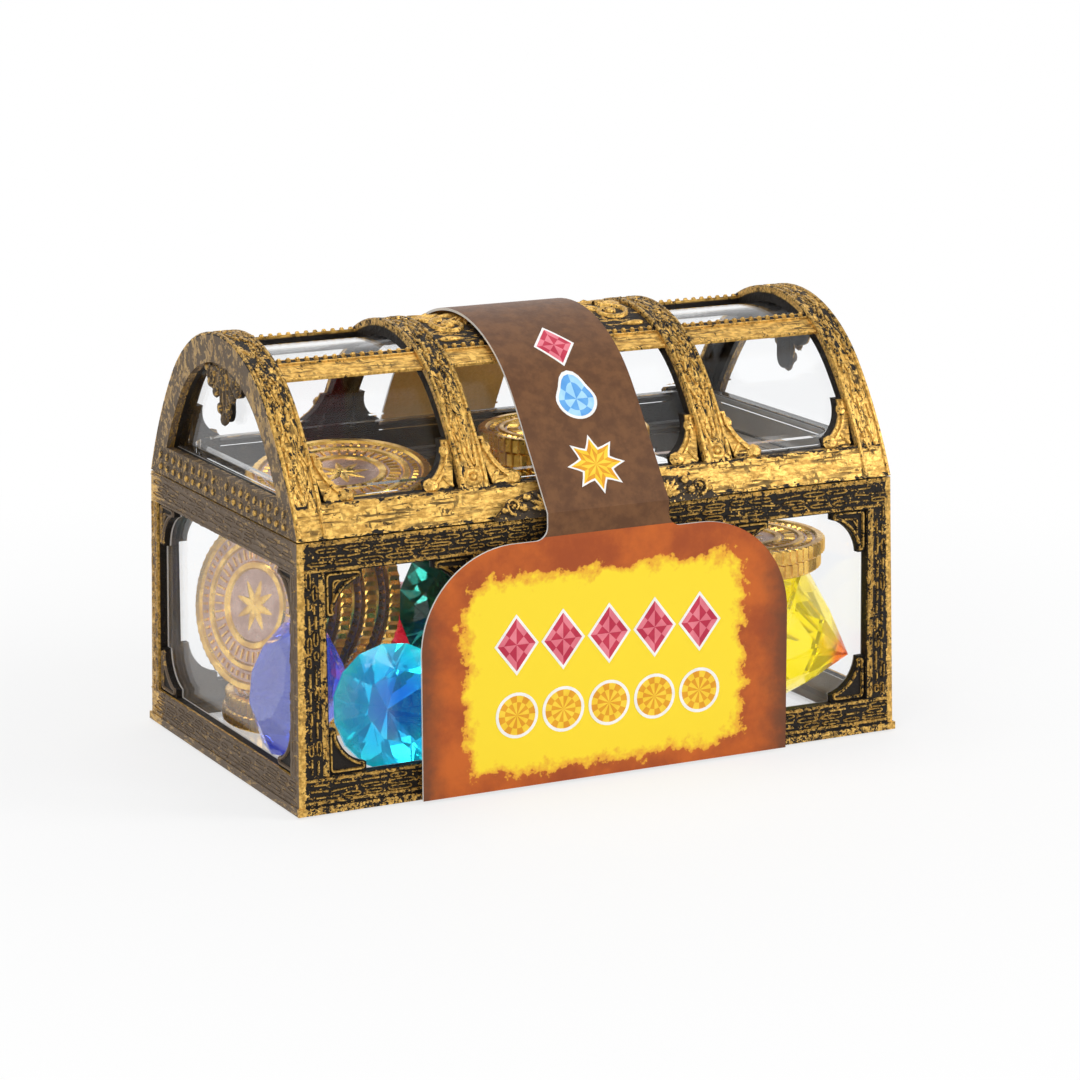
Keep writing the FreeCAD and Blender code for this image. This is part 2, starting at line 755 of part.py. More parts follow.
def lay_in(group, laid):
    """Lifts a group of pieces off whatever was laid in before it and would be in its way."""
    lift = clash_height(group, laid)
    while lift > 0:
        for piece in group:
            piece.translate(Vector(0, 0, lift + rest_gap))
        lift = clash_height(group, laid)
    laid.extend(group)
    return group


def contents():
    """Every coin and gem, in the order in which they are laid in."""
    spread = coin_radius + pile_scatter + lie_gap
    front_y = spread - inside_y
    stack_pitch = 2 * spread - lie_gap
    stack_step = math.sqrt(stack_pitch ** 2 - stack_back_distance ** 2)
    right_x = inside_x - spread - right_pile_wall_distance
    stack_x = right_x - stack_step
    front_x = stack_x - stack_step
    left_x = left_pile_wall_distance + spread - inside_x
    laid = []
    pieces = {}

    left_pile = lay_in(flat_pile(left_x, inside_y - spread, floor_z, left_pile_count), laid)
    pieces["flat_coins_left"] = left_pile
    row_coin = aimed(coin(), row_facing)
    row_x = row_wall_distance - inside_x - row_coin.BoundBox.XMin
    row_y = inside_y - lie_gap - row_coin.BoundBox.YMax
    row_step = row_pitch / abs(row_facing.x)
    pile_top = left_pile[-1].BoundBox.ZMax
    row = lay_in([at(row_coin, row_x + k * row_step, row_y, pile_top) for k in range(row_count)], laid)
    for k, standing in enumerate(row):
        pieces["standing_coin_%d" % (k + 1)] = [standing]

    stack = flat_pile(stack_x, front_y + stack_back_distance, floor_z, stack_count)
    pieces["coin_stack"] = lay_in(stack, laid)
    front_pile = lay_in(flat_pile(front_x, front_y, floor_z, front_pile_count), laid)
    pieces["flat_coins_front"] = front_pile

    blue = at(aimed(gem(blue_gem_radius), blue_facing), 0, row_y - blue_row_distance, floor_z)
    pieces["blue_gem"] = lay_in([pushed(blue, -1, -inside_x)], laid)
    cyan = aimed(gem(cyan_gem_radius), cyan_facing)
    cyan_y = lie_gap - inside_y - cyan.BoundBox.YMin
    pieces["cyan_gem"] = lay_in([at(cyan, cyan_wall_distance - inside_x, cyan_y, floor_z)], laid)
    red = aimed(gem(red_gem_radius), red_facing)
    pieces["red_gem"] = lay_in([at(red, left_x + red_pile_distance, inside_y - spread, pile_top)], laid)
    green = aimed(gem(gem_radius), green_facing)
    front_top = front_pile[-1].BoundBox.ZMax
    green = at(green, front_x - green_shift_left, front_y + green_shift_back, front_top)
    pieces["green_gem"] = lay_in([green], laid)
    yellow = aimed(gem(gem_radius), yellow_facing)
    yellow = at(yellow, 0, lie_gap - inside_y - yellow.BoundBox.YMin, floor_z)
    yellow = lay_in([pushed(yellow, 1, inside_x)], laid)
    pieces["yellow_gem"] = yellow

    right_pile = lay_in(flat_pile(right_x, front_y, yellow[0].BoundBox.ZMax, right_pile_count), laid)
    pieces["right_coin_lower"] = right_pile[:1]
    pieces["right_coin_upper"] = right_pile[1:]
    fan = lay_in(coin_fan(max(standing.BoundBox.ZMax for standing in row)), laid)
    for k, fanned in enumerate(fan):
        pieces["leaning_coin_%d" % (k + 1)] = [fanned]
    return pieces


nodes = {
    "base_frame": [base_frame()],
    "base_tray": [base_tray()],
    "lid_frame": [lid_frame()],
    "lid_dome": [lid_dome()],
    "hinge_pin_left": [hinge_pin(hinge_stations()[0])],
    "hinge_pin_right": [hinge_pin(hinge_stations()[1])],
    "lock_plate": [lock_plate()],
    "lock_boss": [lock_boss()],
    "card_sleeve": [card_sleeve()],
}
nodes.update(contents())

os.makedirs("parts", exist_ok=True)
for name, solids in nodes.items():
    shape = solids[0] if len(solids) == 1 else Part.makeCompound(solids)
    shape.exportStep(os.path.join("parts", name + ".step"))
    print(name, len(shape.Solids), shape.isValid(), round(shape.Volume, 1), shape.BoundBox)
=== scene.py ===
import math
import random

import bmesh
import bpy
from mathutils import Matrix, Vector
from mathutils.bvhtree import BVHTree


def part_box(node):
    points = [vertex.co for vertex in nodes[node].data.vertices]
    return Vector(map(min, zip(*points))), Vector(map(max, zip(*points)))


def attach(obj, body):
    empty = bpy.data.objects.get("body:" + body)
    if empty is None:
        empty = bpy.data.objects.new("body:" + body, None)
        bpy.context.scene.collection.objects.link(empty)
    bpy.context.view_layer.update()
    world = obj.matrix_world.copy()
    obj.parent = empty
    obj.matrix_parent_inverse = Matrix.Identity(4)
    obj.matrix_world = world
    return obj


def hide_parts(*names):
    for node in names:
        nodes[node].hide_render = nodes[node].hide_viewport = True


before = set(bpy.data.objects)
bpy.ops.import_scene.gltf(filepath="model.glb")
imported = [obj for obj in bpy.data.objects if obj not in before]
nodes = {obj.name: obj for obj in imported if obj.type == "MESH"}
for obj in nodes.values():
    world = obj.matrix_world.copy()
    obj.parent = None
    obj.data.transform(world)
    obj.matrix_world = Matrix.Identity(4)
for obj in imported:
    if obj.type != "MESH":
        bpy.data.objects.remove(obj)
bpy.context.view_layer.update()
random.seed(11)

# Sizes in millimetres, read from the frame where it has them
mm = 0.001
foot_lip = 0.3
rim_gap = 0.3
wall_draft = 0.95
bottom_rail = 7.0
top_rail = 5.9
front_post = 6.4
side_post = 4.2
wall_thickness = 2.4
rib_centre = 26.3
mullion_width = 4.4
gusset_run = 7.8
gusset_rise = 8.8
gusset_tip = 1.7
gusset_recess = 0.9
corner_hollow = 0.47
crown_inset = 5.45
crown_angle = math.radians(50)
rib_width = 6.0
shell_inset = 0.6
end_arch_width = 6.1
end_ring = 5.5
crest_setback = 1.3
rim_band = 6.0
front_window_rise = 20.6
top_window_depth = 26.0
bracket_run = 6.5
bracket_rise = 8.5
bracket_tip = 1.4
bracket_recess = 0.7
lock_thickness = 1.5
coin_radius = 17.5
coin_thickness = 3.0

base_low, base_high = (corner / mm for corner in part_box("base_frame"))
lid_low, lid_high = (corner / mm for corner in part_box("lid_frame"))
card_low, card_high = (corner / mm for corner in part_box("card_sleeve"))
card_middle = (card_low.x + card_high.x) / 2
base_half_x = base_high.x - foot_lip
base_half_y = -base_low.y - foot_lip
lid_half_x = lid_high.x
lid_half_y = -lid_low.y
lid_top = lid_high.z
lid_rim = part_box("lid_dome")[0].z / mm
sill = lid_rim + rim_band
base_height = lid_rim - rim_gap
crown_radius = lid_half_y - crown_inset
crown_centre = lid_top - crown_radius


# The barrel roof: a crown's arc and two side arcs that leave it at a tangent
def side_arc():
    """Radius and centre of the roof's side arc."""
    rise = lid_rim - crown_centre
    along = lid_half_y * math.sin(crown_angle) + rise * math.cos(crown_angle)
    radius = lid_half_y ** 2 + rise ** 2 - 2 * crown_radius * along + crown_radius ** 2
    radius /= 2 * (crown_radius - along)
    past = radius - crown_radius
    return radius, past * math.sin(crown_angle), crown_centre - past * math.cos(crown_angle)


side_radius, side_y, side_z = side_arc()
crown_run = crown_radius * crown_angle


def roof_place(point):
    """Takes (along the lid, way round the roof from its crown to the back, height over it) to the frame."""
    way = abs(point[1])
    if way <= crown_run:
        angle = way / crown_radius
        y = (crown_radius + point[2]) * math.sin(angle)
        z = crown_centre + (crown_radius + point[2]) * math.cos(angle)
    else:
        angle = crown_angle + (way - crown_run) / side_radius
        y = (side_radius + point[2]) * math.sin(angle) - side_y
        z = side_z + (side_radius + point[2]) * math.cos(angle)
    return Vector((point[0], math.copysign(y, point[1]), z))


def roof_way(z):
    """Way round the roof, from its crown, of a height."""
    if z > crown_centre + crown_radius * math.cos(crown_angle):
        return crown_radius * math.acos((z - crown_centre) / crown_radius)
    return crown_run + side_radius * (math.acos((z - side_z) / side_radius) - crown_angle)


sill_way = roof_way(sill)
rim_way = roof_way(lid_rim)
window_top_way = roof_way(sill + front_window_rise)
top_window_way = crown_radius * math.asin(top_window_depth / 2 / crown_radius)
bracket_way = sill_way - roof_way(sill + bracket_rise)


def face_matrix(turn, distance, lean):
    """Takes (along, up, out) on an outer face to the frame; the front has no turn."""
    upright = Matrix.Rotation(math.pi / 2 - lean, 4, "X")
    return Matrix.Rotation(math.radians(turn), 4, "Z") @ Matrix.Translation((0, -distance, 0)) @ upright


# Carved shapes, drawn on a flat sheet as (along, up, out)
def spot(u, v, level, turn, size):
    """Place, turn and size of a carved shape on the sheet."""
    return Matrix.Translation((u, v, level)) @ Matrix.Rotation(turn, 4, "Z") @ Matrix.Diagonal((*size, 1))


def mirrored(turn, side):
    """A turn as it is on the right, or mirrored for the left."""
    return turn if side > 0 else math.pi - turn


def add_bar(bm, u, v, length, width, rise, turn=0.0, level=0.0):
    """A raised bar with sloping sides, let into the surface a little."""
    sunk, slope = 0.12, 0.45
    verts = bmesh.ops.create_cube(bm, size=1.0)["verts"]
    top = [vert for vert in verts if vert.co.z > 0]
    bmesh.ops.scale(bm, vec=(1 - slope * width / length, 1 - slope, 1), verts=top)
    place = spot(u, v, level + (rise - sunk) / 2, turn, (length, width, rise + sunk))
    bmesh.ops.transform(bm, matrix=place, verts=verts)


def add_bead(bm, u, v, length, width, rise, turn=0.0, level=0.0):
    """A rounded bead, half of it above the surface."""
    place = spot(u, v, level, turn, (length / 2, width / 2, rise))
    bmesh.ops.create_uvsphere(bm, u_segments=8, v_segments=4, radius=1, matrix=place)


def add_leaf(bm, u, v, length, width, rise, turn=0.0, level=0.0):
    """A pillow that is full near its root and narrows to a point."""
    taper = 0.7
    ball = bmesh.ops.create_uvsphere(bm, u_segments=10, v_segments=7, radius=1)["verts"]
    bmesh.ops.rotate(bm, verts=ball, matrix=Matrix.Rotation(math.pi / 2, 3, "Y"))
    for vert in ball:
        share = (vert.co.x + 1) / 2
        keep = 1 - taper * share ** 1.5
        vert.co = Vector((share, vert.co.y * keep, vert.co.z * keep))
    bmesh.ops.transform(bm, matrix=spot(u, v, level, turn, (length, width / 2, rise)), verts=ball)


def add_cartouche(bm, u, v, length, width, line, rise, turn=0.0):
    """A raised oval outline with blunt ends."""
    bluntness = 0.6
    verts = bmesh.ops.create_circle(bm, cap_ends=True, segments=12, radius=0.5)["verts"]
    for vert in verts:
        vert.co.x = math.copysign(abs(2 * vert.co.x) ** bluntness / 2, vert.co.x)
    bmesh.ops.transform(bm, matrix=spot(u, v, 0.0, turn, (length, width, 1)), verts=verts)
    face = verts[0].link_faces[0]
    face.normal_update()
    if face.normal.z < 0:
        bmesh.ops.reverse_faces(bm, faces=[face])
    for share, depth in ((0.3, rise), (0.4, 0.0), (0.3, -rise)):
        bmesh.ops.inset_region(bm, faces=[face], thickness=share * line, depth=depth, use_boundary=True,
                               use_even_offset=True)
    bmesh.ops.delete(bm, geom=[face], context="FACES_ONLY")


def add_ridge(bm, points, width, rise, level=0.0, end_share=1.0):
    """A rounded ridge along a line of points, which may narrow towards its end."""
    stations = []
    last = len(points) - 1
    for k, point in enumerate(points):
        ahead = Vector(points[min(k + 1, last)]) - Vector(points[max(k - 1, 0)])
        share = 1 + (end_share - 1) * k / last
        turn = math.atan2(ahead.y, ahead.x)
        stations.append(spot(point[0], point[1], level, turn, (1, width * share, rise * share)))
    profile = [(0, -0.5, -0.2), (0, -0.25, 0.9), (0, 0.25, 0.9), (0, 0.5, -0.2)]
    verts = [bm.verts.new(stations[0] @ Vector(corner)) for corner in profile]
    edges = [bm.edges.new(pair) for pair in zip(verts, verts[1:])]
    faces = []
    for before, after in zip(stations, stations[1:]):
        grown = bmesh.ops.extrude_edge_only(bm, edges=edges)["geom"]
        verts = [part for part in grown if isinstance(part, bmesh.types.BMVert)]
        edges = [part for part in grown if isinstance(part, bmesh.types.BMEdge)]
        faces += [part for part in grown if isinstance(part, bmesh.types.BMFace)]
        bmesh.ops.transform(bm, matrix=after @ before.inverted(), verts=verts)
    for face in faces:
        face.normal_update()
    if sum(face.normal.z for face in faces) < 0:
        bmesh.ops.reverse_faces(bm, faces=faces)


def add_scroll(bm, u, v, radius, turns, width, rise, hand, start, level):
    """A volute: a ridge that winds in to a round eye."""
    steps = int(12 * turns)
    points = []
    for k in range(steps + 1):
        angle = start + hand * 2 * math.pi * turns * k / steps
        reach = radius * (1 - 0.8 * k / steps)
        points.append((u + reach * math.cos(angle), v + reach * math.sin(angle)))
    add_ridge(bm, points, width, rise, level, 0.6)
    add_bead(bm, u, v, 0.5 * radius, 0.5 * radius, 1.1 * rise, level=level)


def corner_curve(run, rise, tip, inset, count=9):
    """The hollow edge of a corner bracket, from its toe to its heel, with its corner at the origin."""
    a = Vector((-run, tip))
    b = Vector((-run * corner_hollow, rise * corner_hollow))
    c = Vector((-tip, rise))
    half = (b - a) / 2
    other = (c - b) / 2
    across = Matrix.Rotation(math.pi / 2, 2) @ half
    middle = a + half
    centre = middle + across * ((b + other - middle).dot(other) / across.dot(other))
    radius = (a - centre).length + inset
    first = math.atan2(a.y - centre.y, a.x - centre.x)
    sweep = math.atan2(c.y - centre.y, c.x - centre.x) - first
    sweep = (sweep + math.pi) % (2 * math.pi) - math.pi
    angles = [first + sweep * k / (count - 1) for k in range(count)]
    return [(centre.x + radius * math.cos(t), centre.y + radius * math.sin(t)) for t in angles]


def rounded(points, radius):
    """A closed line with its corners rounded off."""
    line = []
    for before, corner, after in zip(points[-1:] + points[:-1], points, points[1:] + points[:1]):
        corner = Vector(corner)
        back = Vector(before) - corner
        ahead = Vector(after) - corner
        start = corner + back * min(0.45, radius / back.length)
        end = corner + ahead * min(0.45, radius / ahead.length)
        for share in (0.0, 0.35, 0.65, 1.0):
            mixed = start * (1 - share) ** 2 + corner * 2 * share * (1 - share) + end * share ** 2
            line.append((mixed.x, mixed.y))
    return line + line[:1]


# Pieces
def mesh_of(bm, name):
    """Turns drawn shapes into a mesh."""
    mesh = bpy.data.meshes.new(name)
    bm.to_mesh(mesh)
    bm.free()
    return mesh


def add_object(name, data):
    """Puts an object in the scene."""
    thing = bpy.data.objects.new(name, data)
    bpy.context.scene.collection.objects.link(thing)
    return thing


def make_piece(bm, name, body, materials, smooth=True):
    """Makes a piece from shapes in millimetres and lets it ride on a body."""
    bmesh.ops.scale(bm, vec=(mm, mm, mm), verts=bm.verts)
    for face in bm.faces:
        face.smooth = smooth
    mesh = mesh_of(bm, name)
    for material in materials:
        mesh.materials.append(material)
    piece = add_object(name, mesh)
    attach(piece, body)
    return piece


def make_roof_piece(bm, name, finish, smooth=True):
    """Lays what was drawn on the sheet on to the roof, as a piece of the lid."""
    for vert in bm.verts:
        vert.co = roof_place(vert.co)
    make_piece(bm, name, "lid", [finish], smooth)


# Shader helpers
class ShaderValue:
    """A number, vector or colour in a shader tree; sums, products and comparisons add Math nodes to the tree."""

    def __init__(self, tree, socket):
        self.tree = tree
        self.socket = socket

    def __add__(self, other):
        return calc("ADD", self, other)

    def __sub__(self, other):
        return calc("SUBTRACT", self, other)

    def __rsub__(self, other):
        return calc("SUBTRACT", other, self)

    def __mul__(self, other):
        return calc("MULTIPLY", self, other)

    def __lt__(self, other):
        return calc("LESS_THAN", self, other)

    def __gt__(self, other):
        return calc("GREATER_THAN", self, other)

    def __abs__(self):
        return calc("ABSOLUTE", self)


def fill(node, entries):
    """Sets a node's sockets to numbers, vectors or colours, or links them to values."""
    for key, entry in entries.items():
        if isinstance(entry, ShaderValue):
            entry.tree.links.new(entry.socket, node.inputs[key])
        else:
            node.inputs[key].default_value = entry


def calc(operation, *values):
    """A Math node's result."""
    tree = next(value.tree for value in values if isinstance(value, ShaderValue))
    node = tree.nodes.new("ShaderNodeMath")
    node.operation = operation
    fill(node, dict(enumerate(values)))
    return ShaderValue(tree, node.outputs[0])


def largest(first, *others):
    """The largest of some values."""
    for other in others:
        first = calc("MAXIMUM", first, other)
    return first


def length_of(a, b):
    """The length of a flat vector."""
    return calc("SQRT", calc("POWER", a, 2.0) + calc("POWER", b, 2.0))


def ramp(value, low, high, out_low=0.0, out_high=1.0):
    """A value taken smoothly from one range to another."""
    node = value.tree.nodes.new("ShaderNodeMapRange")
    node.interpolation_type = "SMOOTHSTEP"
    fill(node, dict(enumerate((value, low, high, out_low, out_high))))
    return ShaderValue(value.tree, node.outputs[0])


def within(value, middle, reach, soft=0.15):
    """1 where a value lies near a middle, 0 elsewhere."""
    return ramp(abs(value - middle), reach - soft, reach + soft, 1.0, 0.0)


def blend(share, first, second):
    """A mix of two colours."""
    node = share.tree.nodes.new("ShaderNodeMix")
    node.data_type = "RGBA"
    fill(node, {0: share, 6: first, 7: second})
    return ShaderValue(share.tree, node.outputs[2])


def noise(vector, scale, detail=4.0, rough=0.6):
    """Noise on coordinates in millimetres."""
    node = vector.tree.nodes.new("ShaderNodeTexNoise")
    fill(node, {"Vector": vector, "Scale": scale, "Detail": detail, "Roughness": rough})
    return ShaderValue(vector.tree, node.outputs["Fac"])


def patches(vector, scale, detail, rough, first, second, low=0.35, high=0.65):
    """Two colours in soft patches."""
    return blend(ramp(noise(vector, scale, detail, rough), low, high), first, second)


def vector_calc(operation, vector, entries, result=0):
    """A Vector Math node's result."""
    node = vector.tree.nodes.new("ShaderNodeVectorMath")
    node.operation = operation
    fill(node, {0: vector, **entries})
    return ShaderValue(vector.tree, node.outputs[result])


def coordinates(tree, kind):
    """A piece's own coordinates of a kind."""
    return ShaderValue(tree, tree.nodes.new("ShaderNodeTexCoord").outputs[kind])


def millimetres(tree):
    """Object coordinates in millimetres."""
    return vector_calc("SCALE", coordinates(tree, "Object"), {"Scale": 1 / mm})


def stretched(vector, factors):
    """Coordinates stretched along the axes."""
    return vector_calc("MULTIPLY", vector, {1: factors})


def grained(vector, share, first, second):
    """Coordinates stretched along one grain or, where the share is 1, along another."""
    node = share.tree.nodes.new("ShaderNodeMix")
    node.data_type = "VECTOR"
    fill(node, {0: share, 4: first, 5: second})
    return stretched(vector, ShaderValue(share.tree, node.outputs[1]))


def split(vector):
    """The three parts of a vector."""
    node = vector.tree.nodes.new("ShaderNodeSeparateXYZ")
    fill(node, {0: vector})
    return [ShaderValue(vector.tree, part) for part in node.outputs]


def rays(tree, *kinds):
    """1 for some kinds of ray, 0 for the others."""
    path = tree.nodes.new("ShaderNodeLightPath")
    return largest(*[ShaderValue(tree, path.outputs[kind]) for kind in kinds])


def show(tree, output, share, first, second):
    """Shows a shader or, where the share is 1, another one."""
    mix = tree.nodes.new("ShaderNodeMixShader")
    fill(mix, {0: share, 1: ShaderValue(tree, first.outputs[0]), 2: ShaderValue(tree, second.outputs[0])})
    tree.links.new(mix.outputs[0], tree.nodes[output].inputs["Surface"])


def bump(shader, height, distance):
    """Roughens a shader's normal by a height in millimetres."""
    node = height.tree.nodes.new("ShaderNodeBump")
    fill(node, {"Distance": distance * mm, "Height": height})
    fill(shader, {"Normal": ShaderValue(height.tree, node.outputs[0])})


def new_material(name):
    """A material, its tree and its shader."""
    material = bpy.data.materials.new(name)
    material.use_nodes = True
    return material, material.node_tree, material.node_tree.nodes["Principled BSDF"]


def new_group(name, inputs, outputs):
    """A node group with named sockets, the values that it takes in and the node that puts its results out."""
    tree = bpy.data.node_groups.new(name, "ShaderNodeTree")
    for way, sockets in (("INPUT", inputs), ("OUTPUT", outputs)):
        for socket, kind in sockets.items():
            tree.interface.new_socket(socket, in_out=way, socket_type="NodeSocket" + kind)
    entry = tree.nodes.new("NodeGroupInput")
    taken = {socket: ShaderValue(tree, entry.outputs[socket]) for socket in inputs}
    return tree, taken, tree.nodes.new("NodeGroupOutput")


def use_group(tree, group, values):
    """The results of a group that is placed in a material with its own values."""
    node = tree.nodes.new("ShaderNodeGroup")
    node.node_tree = group
    fill(node, values)
    return {socket.name: ShaderValue(tree, socket) for socket in node.outputs}


# Gilded plastic. Cover is the share of gold that the brush leaves, and wash thins it towards the ground's colour.
# On the ends, the lower cover and the wash are painted shade
gilt_bright = (0.84, 0.515, 0.13, 1)
gilt_deep = (0.46, 0.255, 0.055, 1)
moulding_black = (0.010, 0.007, 0.005, 1)
# Painted reflection: these bronze grounds of the ends stand for a sheen of the surroundings on the dark plastic
end_sheen_bronze = (0.170, 0.124, 0.086, 1)
arch_sheen_bronze = (0.135, 0.096, 0.062, 1)
rail_sheen_bronze = (0.105, 0.074, 0.050, 1)
bead_sheen_bronze = (0.085, 0.062, 0.042, 1)
lock_bronze = (0.040, 0.027, 0.016, 1)
# Painted light inside: the bare grey plastic is lightened, the dark grey is painted shade and the pale grey is
# painted light and reflection
inner_grey_lightened = (0.320, 0.308, 0.298, 1)
inner_lit_pale = (0.620, 0.605, 0.585, 1)
inner_shade_dark = (0.150, 0.144, 0.138, 1)
face_skin = 0.08
corner_skin = 0.3
base_face_cover = 0.285
base_corner_cover = 0.78
base_edge_cover = 0.56
base_foot_cover = 0.52
# Painted shade: less gold on the ends of the base
end_shade_loss = 0.42
back_post_gain = 0.14
lid_cover = 0.82
panel_loss = 0.46
beaded_loss = 0.6
rim_edge_loss = 0.32
# Painted shade: less gold on the ends of the lid, below and above the sill
end_rail_shade_loss = 0.40
end_arch_shade_loss = 0.30
bark_low = lid_rim + 14
bark_high = lid_rim + 30
bark_low_loss = 0.20
bark_high_loss = 0.36


def gilding_group():
    """Gold dry-brushed over dark plastic: hollows and brush strokes keep the dark."""
    tree, taken, leave = new_group(
        "Dry brushed gilding",
        {"Sheet": "Vector", "Ground": "Color", "Cover": "Float", "Scratch": "Float", "Reach": "Float",
         "Wash": "Float"},
        {"Color": "Color", "Metal": "Float", "Roughness": "Float", "Height": "Float"})
    sheet = taken["Sheet"]
    soft = 0.022
    coarse = noise(sheet, 0.8, 4.0, 0.6)
    fine = noise(sheet, 2.4, 3.0, 0.62)
    height = coarse * 0.55 + fine * 0.45
    edge = 0.70 - taken["Cover"] * 0.40
    brushed = ramp(height, edge - soft, edge + soft)
    strokes = []
    for factors, scale, bare in (((0.18, 1.0, 1.0), 1.9, 0.52), ((1.0, 0.3, 0.3), 2.1, 0.545)):
        lines = noise(stretched(sheet, factors), scale, 3.0, 0.55)
        strokes.append(ramp(lines, bare, bare + 0.06))
    patch = ramp(noise(sheet, 0.3, 3.0, 0.6), 0.38, 0.62)
    scratched = largest(*strokes) * patch * taken["Scratch"]
    gold = brushed * (1.0 - scratched) * taken["Reach"]
    gilt = patches(sheet, 1.5, 3.0, 0.5, gilt_deep, gilt_bright)
    thinned = blend(taken["Wash"], gilt, taken["Ground"])
    fill(leave, {"Color": blend(gold, taken["Ground"], thinned), "Metal": gold * 0.55,
                 "Roughness": ramp(gold, 0.0, 1.0, 0.58, 0.36), "Height": height - scratched * 0.25})
    return tree


def roof_depth_group():
    """How far a point lies under the lid's barrel roof, in millimetres."""
    tree, taken, leave = new_group("Depth under the roof", {"Place": "Vector"}, {"Depth": "Float"})
    y, z = split(taken["Place"])[1:]
    away = abs(y)
    up = z - crown_centre
    crown_depth = crown_radius - length_of(away, up)
    side_depth = side_radius - length_of(away + side_y, z - side_z)
    on_side = away > up * math.tan(crown_angle)
    fill(leave, {"Depth": crown_depth + on_side * (side_depth - crown_depth)})
    return tree


gilding = gilding_group()
under_roof = roof_depth_group()


def gild(tree, shader, relief, **values):
    """Finishes a shader with the gilding."""
    results = use_group(tree, gilding, values)
    fill(shader, {"Base Color": results["Color"], "Roughness": results["Roughness"],
                  "Metallic": results["Metal"], "Specular IOR Level": 0.2})
    bump(shader, results["Height"], relief)


def near_back(y):
    """1 on the back post of an end of the base, 0 in front of it."""
    return ramp(y, base_half_y - 9.0, base_half_y - 3.5)


def base_gilding():
    """The base: dark faces, gold on corners and edges, ends with a bronze ground of painted reflection and less,
    thinner gold of painted shade, and a grey inside with painted shade and painted light.
    """
    material, tree, shader = new_material("base_gilding")
    place = millimetres(tree)
    x, y, z = split(place)
    lean = z * (wall_draft / base_height)
    from_end = base_half_x - (abs(x) + lean)
    from_front = base_half_y - (abs(y) + lean)
    depth = calc("MINIMUM", from_end, from_front)
    at_end = (from_end < face_skin) * (from_front > corner_skin)
    back_post = near_back(y) * at_end
    # Painted shade on the ends, all but the back posts
    shaded_end = at_end - back_post * 0.9
    corner = ramp(from_end, 1.0, 1.7, base_corner_cover, base_face_cover)
    edge = within(z, base_height, 0.9) * base_edge_cover
    foot = within(z, 0.0, 1.5) * base_foot_cover
    cover = largest(corner, edge, foot) - shaded_end * end_shade_loss + back_post * back_post_gain
    # Painted shade: the inside of the walls darker towards the top, over a lightened grey
    wall_inside_shaded = blend(ramp(z, 12.0, 24.0), inner_grey_lightened, inner_shade_dark)
    # Painted light: the inner faces of the ends pale
    inside = blend(from_end < 3.2, wall_inside_shaded, inner_lit_pale)
    # Painted reflection: a bronze ground on the ends
    outside = blend(at_end, moulding_black, end_sheen_bronze)
    ground = blend(ramp(depth, wall_thickness - 0.4, wall_thickness - 0.2), outside, inside)
    # The wash on the ends is painted shade
    gild(tree, shader, 0.3, Sheet=grained(place, at_end, (1, 1, 1), (1, 0.4, 1.3)), Ground=ground, Cover=cover,
         Scratch=0.5, Reach=ramp(depth, 0.35, 0.7, 1.0, 0.0), Wash=shaded_end * 0.55)
    return material


def lid_gilding():
    """The lid: gold with dark bark on ribs and arches, ends with a bronze ground of painted reflection and less
    gold of painted shade, and a black inside with a painted reflection making the end rails pale.
    """
    material, tree, shader = new_material("lid_gilding")
    place = millimetres(tree)
    x, y, z = split(place)
    along = abs(x)
    away = abs(y)
    roof_depth = use_group(tree, under_roof, {"Place": place})["Depth"]
    end_depth = lid_half_x - along
    reach = largest(ramp(roof_depth, 0.9, 1.3, 1.0, 0.0), ramp(end_depth, 1.4, 1.7, 1.0, 0.0))
    at_end = (end_depth < 1.4) * (roof_depth > 0.25)
    above = z > sill
    on_rib = within(along, rib_centre, rib_width / 2, 0.02)
    on_arch = along > lid_half_x - end_arch_width
    bark = largest(on_rib, on_arch) * above
    panel = (along < rib_centre - rib_width / 2) * (away < top_window_depth / 2)
    beaded = within(away, top_window_depth / 2 + 0.75, 0.6) * above
    edge = largest(within(z, lid_rim, 0.6, 0.5), within(z, sill, 0.6, 0.5))
    # Less gold on the panel, beads, edges and bark; on the ends, less gold is painted shade
    gold_loss_and_end_shade = largest(panel * panel_loss, beaded * beaded_loss, edge * rim_edge_loss,
                   bark * ramp(z, bark_low, bark_high, bark_low_loss, bark_high_loss),
                   at_end * ramp(z, sill, sill + 4, end_rail_shade_loss, end_arch_shade_loss))
    # Painted reflection: bronze grounds on the ends
    outside = blend(at_end, moulding_black, blend(above, rail_sheen_bronze, arch_sheen_bronze))
    # Painted reflection: the inner faces of the end rails pale
    inner_rail_reflection = (1.0 - above) * (end_depth > 2.4) * (end_depth < 3.2) * (roof_depth > 2.8)
    # The wash on the ends is painted shade
    gild(tree, shader, 0.35, Sheet=grained(place, bark, (0.45, 1.0, 1.0), (1.3, 0.5, 0.5)),
         Ground=blend(inner_rail_reflection, outside, inner_lit_pale), Cover=lid_cover - gold_loss_and_end_shade, Scratch=0.8, Reach=reach,
         Wash=at_end * 0.5)
    return material


def relief_gilding(name, cover, wash):
    """The carved ornament, which the brush reaches first."""
    material, tree, shader = new_material(name)
    gild(tree, shader, 0.2, Sheet=millimetres(tree), Ground=moulding_black, Cover=cover, Scratch=0.3, Reach=1.0,
         Wash=wash)
    return material


def bark_gilding():
    """The bark of ribs and arches, with less gold towards the crown."""
    material, tree, shader = new_material("bark_gilding")
    place = millimetres(tree)
    z = split(place)[2]
    gild(tree, shader, 0.2, Sheet=place, Ground=moulding_black, Scratch=0.3, Reach=1.0,
         Cover=ramp(z, bark_low, bark_high, 0.70, 0.57), Wash=ramp(z, bark_low, bark_high, 0.0, 0.25))
    return material


